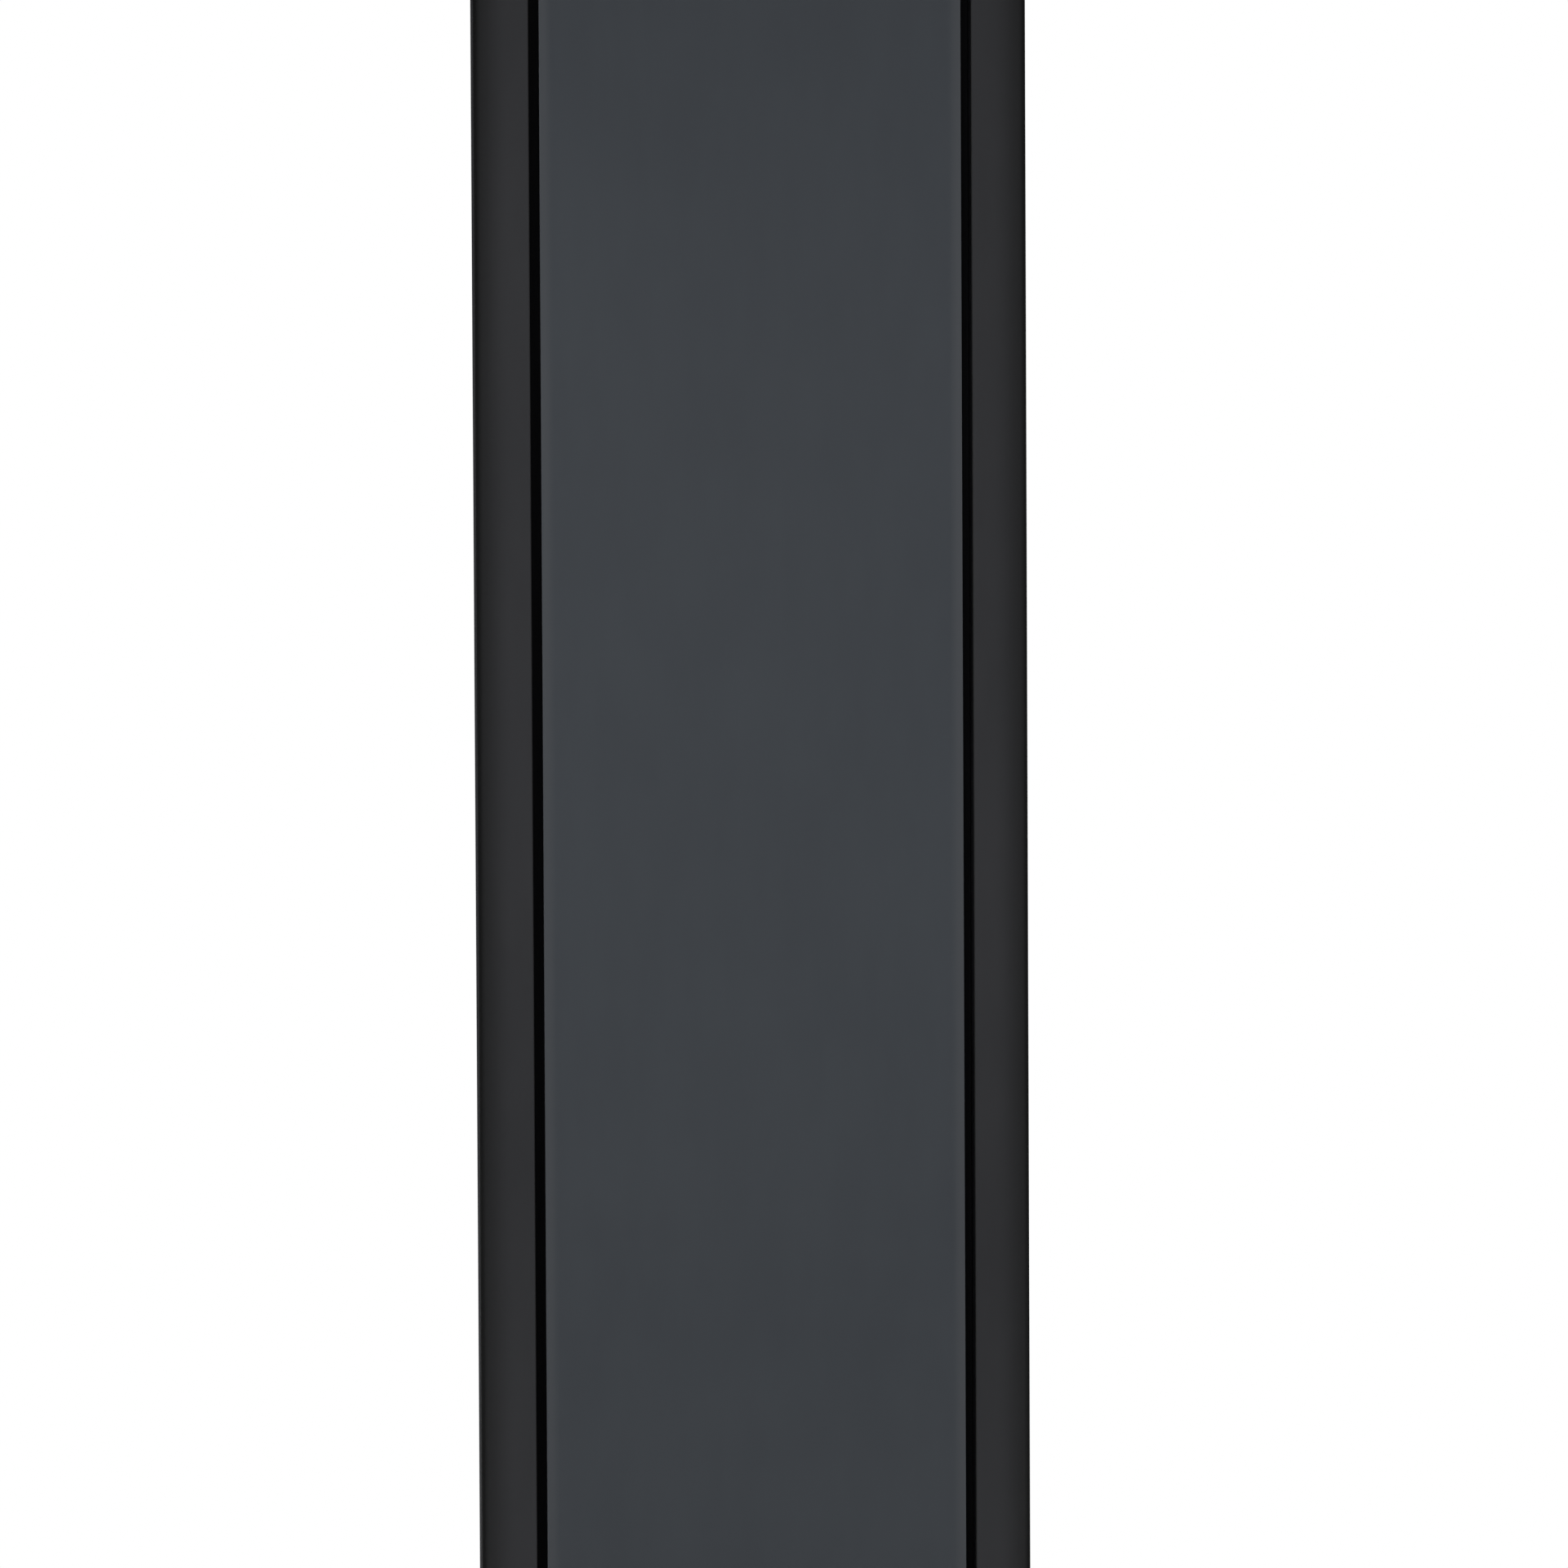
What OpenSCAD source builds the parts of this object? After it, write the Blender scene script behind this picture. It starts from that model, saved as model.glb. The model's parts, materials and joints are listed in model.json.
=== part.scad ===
// Longcase (grandfather) clock: hood, trunk and base with a weight-driven, hour-striking movement.
// Origin: centre of the footprint on the floor. The front faces -Y, +Z is up, sizes in millimetres.

/* [Case plan] */
// Width across the trunk's two stiles
trunk_w = 320; // [316:2:330]
// Width of the hood box and of the base box
box_w = 412; // [408:2:424]
// Depth of the whole clock, from the cornice to the back board
clock_d = 320; // [316:2:328]
// Depth of the trunk
trunk_d = 252; // [250:1:254]
// How far the cornice stands out from the hood
cornice_out = 16; // [12:1:18]
// Thickness of the side boards
board_t = 16; // [14:1:18]

/* [Case heights] */
// Height of the glides under the plinth
foot_h = 14; // [8:1:18]
// Height of the plinth
plinth_h = 90; // [70:5:110]
// Height of the base box
base_h = 310; // [280:10:330]
// Height of each coved moulding at the ends of the trunk
cove_h = 44; // [40:2:48]
// Visible height of the trunk between its mouldings
trunk_h = 1050; // [1030:10:1100]
// Height of the hood box
hood_h = 396; // [390:2:404]
// Height of the cornice and its top board
cornice_h = 52; // [48:2:60]

/* [Face frames and doors] */
// Width of a stile or rail on the front
stile_w = 32; // [30:1:34]
// Thickness of the stiles and rails
stile_t = 20; // [19:1:21]
// How far a stile's outer edge falls back from its inner edge
stile_crown = 2.5; // [1:0.5:4]
// Width of the dark gap round each door and panel
gap = 6; // [5:0.5:7]
// Radius of the door pivot pins
pivot_r = 4; // [3:0.5:5]
// Distance from a door's edge to its pivot
pivot_in = 12; // [11:0.5:13]

/* [Dial and hands] */
// Side of the square dial plate
dial_side = 292; // [286:2:296]
// Outer radius of the hour markers
marker_r = 120; // [112:1:124]
// Length of the minute hand
minute_len = 108; // [95:1:114]
// Length of the hour hand
hour_len = 76; // [60:1:84]
// Minutes past the hour shown at rest
shown_minutes = 9; // [0:1:59]
// Hour shown at rest
shown_hour = 10; // [0:1:11]

/* [Pendulum and weights] */
// Distance from the suspension to the bob's centre
pendulum_len = 990; // [960:5:1000]
// Radius of the bob
bob_r = 75; // [60:1:80]
// Radius of each weight
weight_r = 24; // [18:1:24]
// Length of each weight
weight_len = 160; // [140:5:180]
// Height of the pulley centres above the floor at rest
pulley_z = 1250; // [1150:10:1350]

/* [Hidden] */
$fn = 64;
big = 3000;
slack = 0.3;          // clearance between pieces of different bodies
run = 0.06;           // radial clearance of a running fit

// Colours
slate = [0.24, 0.255, 0.27];
charcoal = [0.18, 0.18, 0.19];
black = [0.03, 0.03, 0.03];
brass = [0.78, 0.60, 0.30];
steel = [0.70, 0.71, 0.73];
blued = [0.16, 0.19, 0.30];
enamel = [0.90, 0.89, 0.85];
glass = [0.75, 0.82, 0.84, 0.35];

// Levels, from the floor up
plinth_z = foot_h;
base_z = plinth_z + plinth_h;
waist_z = base_z + base_h;
trunk_z = waist_z + cove_h;
throat_z = trunk_z + trunk_h;
hood_z = throat_z + cove_h;
cornice_z = hood_z + hood_h;
clock_h = cornice_z + cornice_h;
top_board_t = 20;

// Depths, from the front to the back
front_y = -clock_d / 2;
back_y = clock_d / 2;
box_y = front_y + cornice_out;
back_t = 8;
back_in = back_y - back_t;
trunk_y = back_y - trunk_d;
trunk_in_y = trunk_y + stile_t;
box_in_y = box_y + stile_t;
plinth_out = 10;
subpanel_t = 8;
base_floor_t = 16;

// Half widths
trunk_x = trunk_w / 2;
box_x = box_w / 2;
cornice_x = box_x + cornice_out;
plinth_x = box_x + plinth_out;
trunk_in_x = trunk_x - board_t;
box_in_x = box_x - board_t;

// Trunk door and its opening
door_x = trunk_x - stile_w - gap;
door_t = stile_t - slack;
door_z0 = trunk_z + stile_w + gap;
door_z1 = throat_z - stile_w - gap;
stop_t = 6;
stop_x = trunk_x - stile_w - 12;

// Hood door
hood_rail = 24;
hood_door_x = box_x - stile_w - gap;
hood_door_z0 = hood_z + hood_rail + gap;
hood_door_z1 = cornice_z - hood_rail - gap;
hood_door_t = 22;
hood_frame_w = 32;
hood_sight_x = hood_door_x - hood_frame_w;
glass_t = 3;
rebate = 4;
window_y0 = -84;
window_y1 = 96;
window_z0 = hood_z + 60;
window_z1 = cornice_z - 60;
mask_t = 6;
mask_y = box_y + hood_door_t + 7;

// Pivot lines of the two doors
trunk_pivot_x = -door_x + pivot_in;
trunk_pivot_y = trunk_y + 7 + slack + 2.55;
hood_pivot_x = -hood_door_x + pivot_in;
hood_pivot_y = box_y + hood_door_t / 2;
pivot_deep = 12;

// Movement: plates, seatboard and dial, from the front to the back
dial_z = hood_z + hood_h / 2;
plate_t = 3;
plate_f = -65;                 // front face of the front plate
plate_gap = 57;
plate_b = plate_f + plate_t + plate_gap;
inner_f = plate_f + plate_t;
plate_x = 82;
plate_z0 = -54;
plate_z1 = 94;
dial_t = 2;
dial_y = -95;                  // front face of the dial plate
seat_t = 18;
seat_z = dial_z + plate_z0 - seat_t;
seat_y0 = -78;
seat_y1 = 8;
pivot_pin_r = 1.2;

// Trains: teeth, modules and arbor places in the plane of the plates, seen from the front
great_teeth = 96;
strike_teeth = 84;
centre_teeth = 60;
third_teeth = 56;
pin_teeth = 64;
warning_teeth = 56;
cannon_teeth = 20;
motion_teeth = 60;
hour_teeth = 64;
hour_leaves = 16;
leaves = 8;
escape_leaves = 7;
escape_teeth = 30;
great_m = 0.8;
centre_m = 0.8;
third_m = 0.75;
pin_m = 0.75;
warning_m = 0.65;
motion_m = 0.72;
hour_m = motion_m * (cannon_teeth + motion_teeth) / (hour_teeth + hour_leaves);

function reach(teeth_a, teeth_b, m) = (teeth_a + teeth_b) * m / 2;
function polar(r, a) = [r * cos(a), r * sin(a)];
function direction(a, b) = atan2(b[1] - a[1], b[0] - a[0]);
// Rotation that puts gear b in mesh with gear a, when a is turned by turn_a
function mesh_turn(turn_a, teeth_a, teeth_b, dir) =
    dir + 180 + 180 / teeth_b - (turn_a - dir) * teeth_a / teeth_b;
// The point at distance ra from a and rb from b, on the right of the line from a to b
function two_reach(a, ra, b, rb) =
    let (d = norm(b - a), along = (ra * ra - rb * rb + d * d) / (2 * d),
         side = sqrt(ra * ra - along * along), u = (b - a) / d)
    a + along * u + side * [u[1], -u[0]];

centre_at = [0, 0];
great_drop = 12;
great_reach = reach(great_teeth, leaves, great_m);
going_at = [sqrt(great_reach * great_reach - great_drop * great_drop), -great_drop];
strike_at = [-going_at[0], -great_drop];
escape_at = [0, 40];
third_at = two_reach(centre_at, reach(centre_teeth, leaves, centre_m),
                     escape_at, reach(third_teeth, escape_leaves, third_m));
pin_at = strike_at + polar(reach(strike_teeth, leaves, great_m), 78);
warning_at = pin_at + polar(reach(pin_teeth, leaves, pin_m), 110);
fly_at = warning_at + polar(reach(warning_teeth, leaves, warning_m), 75);
minute_at = polar(reach(cannon_teeth, motion_teeth, motion_m), 250);
escape_r = 21;
anchor_at = escape_at + [0, escape_r * sqrt(2)];
hammer_at = [-64, 44];
pin_circle = 20;
arbors = [third_at, escape_at, pin_at, warning_at, fly_at];
pillar_places = [[-74, -46], [74, -46], [-74, 86], [74, 86], [0, -46]];

// Wheel planes between the plates
great_y = -15.5;
great_t = 3;
pinion_back_y = -18;
pinion_back_t = 8;
centre_y = -60;
centre_t = 1.8;
third_y = -24;
wheel_t = 1.6;
pin_y = -21;
escape_y = -48;
escape_t = 1.5;
barrel_y0 = -54;
barrel_y1 = -27;
barrel_r = 25;
flange_r = 27.5;
flange_t = 1.5;
winding_r = 4;
winding_square = 6;
line_r = 0.8;
line_y = (barrel_y0 + barrel_y1) / 2;

// Pulleys, lines and weights
line_x = going_at[0] + barrel_r + line_r + slack;
sheave_r = 22;
sheave_rim = 24;
sheave_t = 9;
weight_x = line_x + sheave_r + line_r;
stirrup_drop = 31;
weight_top_z = pulley_z - 60;

// Pendulum
pendulum_z = dial_z + anchor_at[1];
pendulum_y = 27;
rod_r = 3;
bob_z = pendulum_z - pendulum_len;
bob_t = 28;
bob_edge_t = 6;
bob_arc_r = (bob_r * bob_r + pow((bob_t - bob_edge_t) / 2, 2)) / (bob_t - bob_edge_t);

// ---- Helpers -------------------------------------------------------------------------------

// A flat shape drawn in the plane of the dial, from depth y0 backwards
module in_plane(y0, t) {
    translate([0, y0 + t, dial_z]) rotate([90, 0, 0]) linear_extrude(t) children();
}

// A round rod along Y at a place in the dial's plane
module rod_y(at, y0, y1, r) {
    translate([at[0], y1, dial_z + at[1]]) rotate([90, 0, 0]) cylinder(h = y1 - y0, r = r);
}

// A board given by its corners
module board(lo, hi) {
    translate(lo) cube(hi - lo);
}

module both_sides() {
    children();
    mirror([1, 0, 0]) children();
}

// Outline of one tooth: half widths in shares of the pitch at root, pitch line and tip
function tooth(centre, pitch, rp, m, half, add, ded, tip, root) = [
    for (p = [[rp - ded * m, -root], [rp, -half], [rp + add * m * 0.6, -(half * 0.72 + tip * 0.28)],
              [rp + add * m, -tip], [rp + add * m, tip], [rp + add * m * 0.6, half * 0.72 + tip * 0.28],
              [rp, half], [rp - ded * m, root]])
        polar(p[0], centre + p[1] * pitch / 2)
];

module gear(teeth, m, turn = 0) {
    pinion = teeth <= 20;
    pitch = 360 / teeth;
    rp = teeth * m / 2;
    half = pinion ? 0.36 : 0.44;
    root = pinion ? 0.36 : 0.5;
    add = pinion ? 0.65 : 0.85;
    ded = pinion ? 1.3 : 1.25;
    polygon([for (i = [0:teeth - 1])
        each tooth(turn + i * pitch, pitch, rp, m, half, add, ded, 0.16, root)]);
}

// A train wheel crossed out to spokes, with its hub
module crossed_wheel(teeth, m, turn = 0, spokes = 5, hub = 6) {
    rim = teeth * m / 2 - 1.25 * m - 2.2;
    difference() {
        gear(teeth, m, turn);
        difference() {
            circle(rim);
            circle(hub);
            for (i = [0:spokes - 1])
                rotate(i * 360 / spokes) translate([0, -1.3]) square([rim + 1, 2.6]);
        }
    }
}

// An arbor between the plates, with a thinner pivot at each end
module arbor(at, r = 1.8) {
    rod_y(at, inner_f + slack, plate_b - slack, r);
    rod_y(at, plate_f, plate_b + plate_t, pivot_pin_r);
}

// Front edge section of a stile whose outer edge is at x = 0 and whose front is at y = 0
module stile_section(round_r = 3) {
    crown_r = (stile_w * stile_w + stile_crown * stile_crown) / (2 * stile_crown);
    edge = stile_crown * 0.8;
    intersection() {
        union() {
            translate([round_r, 0]) square([stile_w - round_r, stile_t]);
            translate([0, edge + round_r]) square([stile_w, stile_t - edge - round_r]);
            translate([round_r, edge + round_r]) circle(round_r);
        }
        translate([stile_w, crown_r]) circle(crown_r, $fn = 720);
    }
}

// A left stile, upright from z0 to z1, with its outer front edge at (-x, y)
module stile(x, y, z0, z1) {
    translate([-x, y, z0]) linear_extrude(z1 - z0) stile_section();
}

// A moulding mitred round the front and both sides. Each level is [z, half width, front y]
module mitred(levels) {
    n = len(levels);
    intersection() {
        translate([0, back_y + 1, 0]) rotate([90, 0, 0]) linear_extrude(clock_d + 2)
            polygon(concat([for (p = levels) [p[1], p[0]]],
                           [for (i = [n - 1:-1:0]) [-levels[i][1], levels[i][0]]]));
        translate([-box_w, 0, 0]) rotate([90, 0, 90]) linear_extrude(box_w * 2)
            polygon(concat([for (p = levels) [p[2], p[0]]],
                           [[back_in, levels[n - 1][0]], [back_in, levels[0][0]]]));
    }
}

// Levels of a hollow quarter curve, upright where it starts and level where it ends
function cove(z0, x0, y0, z1, x1, y1, steps = 8) = [
    for (i = [0:steps])
        let (a = 90 * i / steps, up = sin(a), out = 1 - cos(a))
        [z0 + (z1 - z0) * up, x0 + (x1 - x0) * out, y0 + (y1 - y0) * out]
];

function backwards(list) = [for (i = [len(list) - 1:-1:0]) list[i]];

// ---- Base ----------------------------------------------------------------------------------

module glide_feet() {
    color(black) both_sides() for (y = [front_y + 28, back_in - 20])
        translate([plinth_x - 22, y, 0]) cylinder(h = foot_h, r1 = 17, r2 = 20);
}

module plinth() {
    chamfer = 6;
    color(charcoal) difference() {
        mitred([[plinth_z, plinth_x, front_y + 6],
                [base_z - chamfer, plinth_x, front_y + 6],
                [base_z, plinth_x - chamfer, front_y + 6 + chamfer]]);
        board([-box_in_x - 6, box_y + 14, plinth_z - 1], [box_in_x + 6, back_in - 18, base_z + 1]);
    }
}

module base_carcass() {
    color(charcoal) {
        both_sides() board([box_in_x, box_in_y, base_z], [box_x, back_in, waist_z]);
        board([-box_in_x, box_in_y + subpanel_t, base_z],
              [box_in_x, back_in, base_z + base_floor_t]);
    }
}

module base_face_frame() {
    color(charcoal) {
        both_sides() stile(box_x, box_y, base_z, waist_z);
        for (z = [base_z, waist_z - stile_w])
            board([-box_x + stile_w, box_y, z], [box_x - stile_w, box_in_y, z + stile_w]);
    }
}

module base_panel() {
    color(slate) board([-box_x + stile_w + gap, box_y, base_z + stile_w + gap],
                       [box_x - stile_w - gap, box_in_y, waist_z - stile_w - gap]);
}

module base_subpanel() {
    color(black) board([-box_in_x, box_in_y, base_z], [box_in_x, box_in_y + subpanel_t, waist_z]);
}

// ---- Trunk ---------------------------------------------------------------------------------

module back_board() {
    hole_r = 3;
    color(charcoal) translate([0, back_y, 0]) rotate([90, 0, 0]) linear_extrude(back_t)
        difference() {
            union() {
                translate([-trunk_x, plinth_z]) square([trunk_w, cornice_z - plinth_z]);
                translate([-box_x, plinth_z]) square([box_w, waist_z - plinth_z]);
                translate([-box_x, hood_z]) square([box_w, hood_h]);
            }
            for (x = [-100, 100]) translate([x, cornice_z - 28]) circle(hole_r);
        }
}

module waist_moulding() {
    fillet = 8;
    out = 4;
    color(charcoal) difference() {
        mitred(concat(
            [[waist_z, box_x + out, box_y - out], [waist_z + fillet, box_x + out, box_y - out]],
            backwards(cove(trunk_z - fillet, trunk_x + out, trunk_y - out,
                           waist_z + fillet, box_x, box_y)),
            [[trunk_z, trunk_x + out, trunk_y - out]]));
        board([-trunk_x, trunk_y, waist_z - 1], [trunk_x, big, trunk_z + 1]);
    }
}

module throat_moulding() {
    fillet = 8;
    out = 4;
    color(charcoal) difference() {
        mitred(concat(
            [[throat_z, trunk_x + out, trunk_y - out]],
            cove(throat_z + fillet, trunk_x + out, trunk_y - out, hood_z - fillet, box_x, box_y),
            [[hood_z - fillet, box_x + out, box_y - out], [hood_z, box_x + out, box_y - out]]));
        board([-trunk_x, trunk_y, throat_z - 1], [trunk_x, big, hood_z + 1]);
    }
}

module trunk_sides() {
    color(charcoal) both_sides() translate([trunk_in_x, 0, 0]) rotate([90, 0, 90])
        linear_extrude(board_t) polygon([
            [trunk_in_y, waist_z], [back_in, waist_z], [back_in, hood_z], [20, hood_z],
            [20, seat_z], [seat_y0, seat_z], [seat_y0, hood_z + 10], [trunk_in_y, hood_z + 10]]);
}

module trunk_stiles() {
    color(charcoal) both_sides() stile(trunk_x, trunk_y, waist_z, hood_z);
}

module trunk_rails() {
    rail_x = trunk_x - stile_w;
    color(charcoal) difference() {
        union() {
            board([-rail_x, trunk_y, waist_z], [rail_x, trunk_in_y, trunk_z + stile_w]);
            board([-rail_x, trunk_y, throat_z - stile_w], [rail_x, trunk_in_y, hood_z]);
        }
        translate([trunk_pivot_x, trunk_pivot_y, door_z0 - gap - pivot_deep])
            cylinder(h = door_z1 - door_z0 + 2 * (gap + pivot_deep), r = pivot_r);
    }
}

// Dark strips behind the gap round the trunk door
module door_stops() {
    press = 3;            // room for the door to be pushed in when it is opened
    color(black) {
        board([trunk_x - stile_w, trunk_in_y, door_z0 - 20],
              [trunk_in_x, trunk_in_y + stop_t, door_z1 + 20]);
        board([stop_x, trunk_in_y + press, door_z0 - 20],
              [trunk_x - stile_w, trunk_in_y + stop_t, door_z1 + 20]);
        board([-trunk_in_x, trunk_in_y + stop_t + 0.5, door_z0 - 20],
              [-stop_x + 2, trunk_in_y + stop_t + 4.5, door_z1 + 20]);
        board([-stop_x + 26, trunk_in_y, door_z0 - 20],
              [trunk_x - stile_w, trunk_in_y + stop_t, door_z0 - slack]);
        board([-stop_x + 26, trunk_in_y, door_z1 + slack],
              [trunk_x - stile_w, trunk_in_y + stop_t, door_z1 + 20]);
    }
}

module trunk_door_panel() {
    color(slate) difference() {
        board([-door_x, trunk_y, door_z0], [door_x, trunk_y + door_t, door_z1]);
        for (z = [door_z0 - 1, door_z1 - pivot_deep])
            translate([trunk_pivot_x, trunk_pivot_y, z]) cylinder(h = pivot_deep + 1, r = pivot_r + run);
    }
}

// One pivot pin with a collar that carries the door across the gap
module pivot_pin(x, y, z, collar_z) {
    translate([x, y, z - pivot_deep]) cylinder(h = pivot_deep * 2 + gap - slack, r = pivot_r);
    translate([x, y, collar_z]) cylinder(h = gap - 2 * slack, r = pivot_r + 2.5);
}

module pivot_pins(x, y, z0, z1) {
    color(blued) {
        pivot_pin(x, y, z0 - gap, z0 - gap);
        pivot_pin(x, y, z1 + slack, z1 + 2 * slack);
    }
}

module trunk_door_pins() pivot_pins(trunk_pivot_x, trunk_pivot_y, door_z0, door_z1);
module hood_door_pins() pivot_pins(hood_pivot_x, hood_pivot_y, hood_door_z0, hood_door_z1);

latch_x = 42;
latch_z = door_z1 - 12;
plunger_r = 5;

module touch_latch_body() {
    y0 = trunk_in_y + stop_t;
    color(charcoal) difference() {
        union() {
            board([latch_x - 10, y0, latch_z - 9], [latch_x + 10, y0 + 40, latch_z + 9]);
            board([latch_x - 14, y0, latch_z + 9], [latch_x + 14, y0 + 5, door_z1 + 20]);
        }
        translate([latch_x, y0 + 36, latch_z]) rotate([90, 0, 0]) cylinder(h = big, r = plunger_r + run);
    }
}

module touch_latch_plunger() {
    color(steel) translate([latch_x, trunk_in_y + 30, latch_z]) rotate([90, 0, 0])
        cylinder(h = 30, r = plunger_r);
}

// ---- Hood ----------------------------------------------------------------------------------

module seatboard() {
    color(charcoal) difference() {
        board([-trunk_x, seat_y0, seat_z], [trunk_x, seat_y1, seat_z + seat_t]);
        both_sides() {
            board([line_x - 5, barrel_y0 - 4, seat_z - 1],
                  [line_x + 5, barrel_y1 + 4, seat_z + seat_t + 1]);
            translate([weight_x + sheave_r + line_r, line_y, seat_z - 1])
                cylinder(h = seat_t + 2, r = line_r + 0.4);
        }
    }
}

module hood_sides() {
    color(charcoal) both_sides() difference() {
        board([box_in_x, box_in_y, hood_z], [box_x, back_in, cornice_z]);
        board([box_in_x - 1, window_y0, window_z0], [box_x + 1, window_y1, window_z1]);
    }
}

module hood_side_glass() {
    lap = 8;
    color(glass) both_sides()
        board([box_in_x - glass_t, window_y0 - lap, window_z0 - lap],
              [box_in_x, window_y1 + lap, window_z1 + lap]);
}

module hood_face_frame() {
    rail_x = box_x - stile_w;
    color(charcoal) difference() {
        union() {
            both_sides() stile(box_x, box_y, hood_z, cornice_z);
            for (z = [hood_z, cornice_z - hood_rail])
                board([-rail_x, box_y, z], [rail_x, box_in_y, z + hood_rail]);
        }
        translate([hood_pivot_x, hood_pivot_y, hood_door_z0 - gap - pivot_deep])
            cylinder(h = hood_door_z1 - hood_door_z0 + 2 * (gap + pivot_deep), r = pivot_r);
    }
}

module cornice() {
    step = 10;
    side = box_x + 2;
    face = box_y - 2;
    slab_z = clock_h - top_board_t;
    lip = 3;
    color(charcoal) {
        difference() {
            mitred(concat(
                [[cornice_z, side, face], [cornice_z + step, side, face]],
                cove(cornice_z + step, side, face, slab_z, cornice_x - lip, front_y + lip)));
            board([-box_in_x, box_in_y, cornice_z - 1], [box_in_x, back_in - 12, slab_z + 1]);
        }
        board([-cornice_x, front_y, slab_z], [cornice_x, back_y, clock_h]);
    }
}

// Dark board behind the hood door, with a square sight opening
module dial_mask() {
    sight = dial_side / 2 - 8;
    color(black) difference() {
        board([-box_in_x, mask_y, hood_z + 4], [box_in_x, mask_y + mask_t, cornice_z - 4]);
        board([-sight, mask_y - 1, dial_z - sight], [sight, mask_y + mask_t + 1, dial_z + sight]);
    }
}

module hood_door_frame() {
    sight_z = (hood_door_z1 - hood_door_z0) / 2 - hood_frame_w;
    color(slate) difference() {
        board([-hood_door_x, box_y, hood_door_z0], [hood_door_x, box_y + hood_door_t, hood_door_z1]);
        board([-hood_sight_x, box_y - 1, dial_z - sight_z], [hood_sight_x, big, dial_z + sight_z]);
        board([-hood_sight_x - rebate, box_y + 14, dial_z - sight_z - rebate],
              [hood_sight_x + rebate, big, dial_z + sight_z + rebate]);
        for (z = [hood_door_z0 - 1, hood_door_z1 - pivot_deep])
            translate([hood_pivot_x, hood_pivot_y, z]) cylinder(h = pivot_deep + 1, r = pivot_r + run);
    }
}

module hood_door_glass() {
    sight_z = (hood_door_z1 - hood_door_z0) / 2 - hood_frame_w;
    color(glass) board([-hood_sight_x - rebate, box_y + 14, dial_z - sight_z - rebate],
                       [hood_sight_x + rebate, box_y + 14 + glass_t, dial_z + sight_z + rebate]);
}

module hood_door_knob() {
    color(steel) translate([hood_door_x - hood_frame_w / 2, box_y, dial_z]) rotate([90, 0, 0]) {
        cylinder(h = 9, r = 3.5);
        translate([0, 0, 6]) cylinder(h = 8, r = 8);
    }
}

// ---- Dial and hands ------------------------------------------------------------------------

module dial_plate() {
    color(enamel) in_plane(dial_y, dial_t) difference() {
        square(dial_side, center = true);
        circle(7);
        translate(escape_at) circle(2.5);
        for (p = [going_at, strike_at]) translate(p) circle(7);
    }
    // feet that hold the dial off the front plate
    color(brass) for (x = [-70, 70]) for (z = [plate_z0 + 9, plate_z1 - 9])
        rod_y([x, z], dial_y + dial_t, plate_f, 2.5);
}

module hour_markers() {
    long = 24;
    color(charcoal) in_plane(dial_y - 1.4, 1.4) for (i = [0:11]) rotate(-30 * i) {
        if (i == 0) for (x = [-5, 5]) translate([x - 2, marker_r - long]) square([4, long]);
        else translate([-2.5, marker_r - long]) square([5, long]);
    }
}

// A straight tapered hand that points up, with a round boss
module hand(length, tail, wide, boss, bore) {
    difference() {
        union() {
            polygon([[-wide / 2, -tail], [wide / 2, -tail], [wide / 2, 0], [wide * 0.3, length - 4],
                     [0, length], [-wide * 0.3, length - 4], [-wide / 2, 0]]);
            circle(boss);
        }
        circle(bore);
    }
}

cannon_r = 3;
hour_pipe_r = 5;
hand_t = 1;
second_hand_y = -97.6;
hour_hand_y = -101;
minute_hand_y = -104;
hand_tip_y = -107;
hour_turn = -30 * (shown_hour + shown_minutes / 60);
minute_turn = -6 * shown_minutes;

module hour_hand() {
    color(blued) in_plane(hour_hand_y, hand_t) rotate(hour_turn)
        hand(hour_len, 22, 7, 9, hour_pipe_r);
}

module minute_hand() {
    color(blued) in_plane(minute_hand_y, hand_t) rotate(minute_turn)
        hand(minute_len, 26, 5, 7, cannon_r);
}

module second_hand() {
    color(blued) in_plane(second_hand_y, 0.6) translate(escape_at) rotate(150)
        hand(24, 9, 1.8, 2.6, 0.8);
}

// ---- Movement ------------------------------------------------------------------------------

module plate_outline() {
    translate([-plate_x, plate_z0]) square([2 * plate_x, plate_z1 - plate_z0]);
}

module pivot_holes() {
    for (p = arbors) translate(p) circle(pivot_pin_r + run);
    translate(hammer_at) circle(pivot_pin_r + run);
}

module movement_front_plate() {
    color(brass) {
        in_plane(plate_f, plate_t) difference() {
            plate_outline();
            pivot_holes();
            translate(centre_at) circle(1.8 + run);
            translate(anchor_at) circle(pivot_pin_r + run);
            for (p = [going_at, strike_at]) translate(p) circle(winding_r + run);
        }
        rod_y(minute_at, plate_f - 18, plate_f, 2);
    }
}

module movement_back_plate() {
    color(brass) in_plane(plate_b, plate_t) difference() {
        plate_outline();
        pivot_holes();
        translate(centre_at) circle(pivot_pin_r + run);
        translate(anchor_at) circle(6);
        for (p = [going_at, strike_at]) translate(p) circle(winding_r - 1 + run);
    }
}

module plate_pillars() {
    color(brass) for (p = pillar_places) rod_y(p, inner_f, plate_b, 4.5);
}

module barrel(at) {
    color(brass) {
        rod_y(at, barrel_y0, barrel_y1, barrel_r);
        rod_y(at, barrel_y0 - flange_t, barrel_y0, flange_r);
        rod_y(at, barrel_y1, barrel_y1 + flange_t, flange_r);
        rod_y(at, plate_f - 8, plate_b - slack, winding_r);
        rod_y(at, plate_b - slack, plate_b + plate_t, winding_r - 1);
        in_plane(dial_y + 1, plate_f - 8 - dial_y - 1) translate(at)
            square(winding_square, center = true);
    }
}

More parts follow.
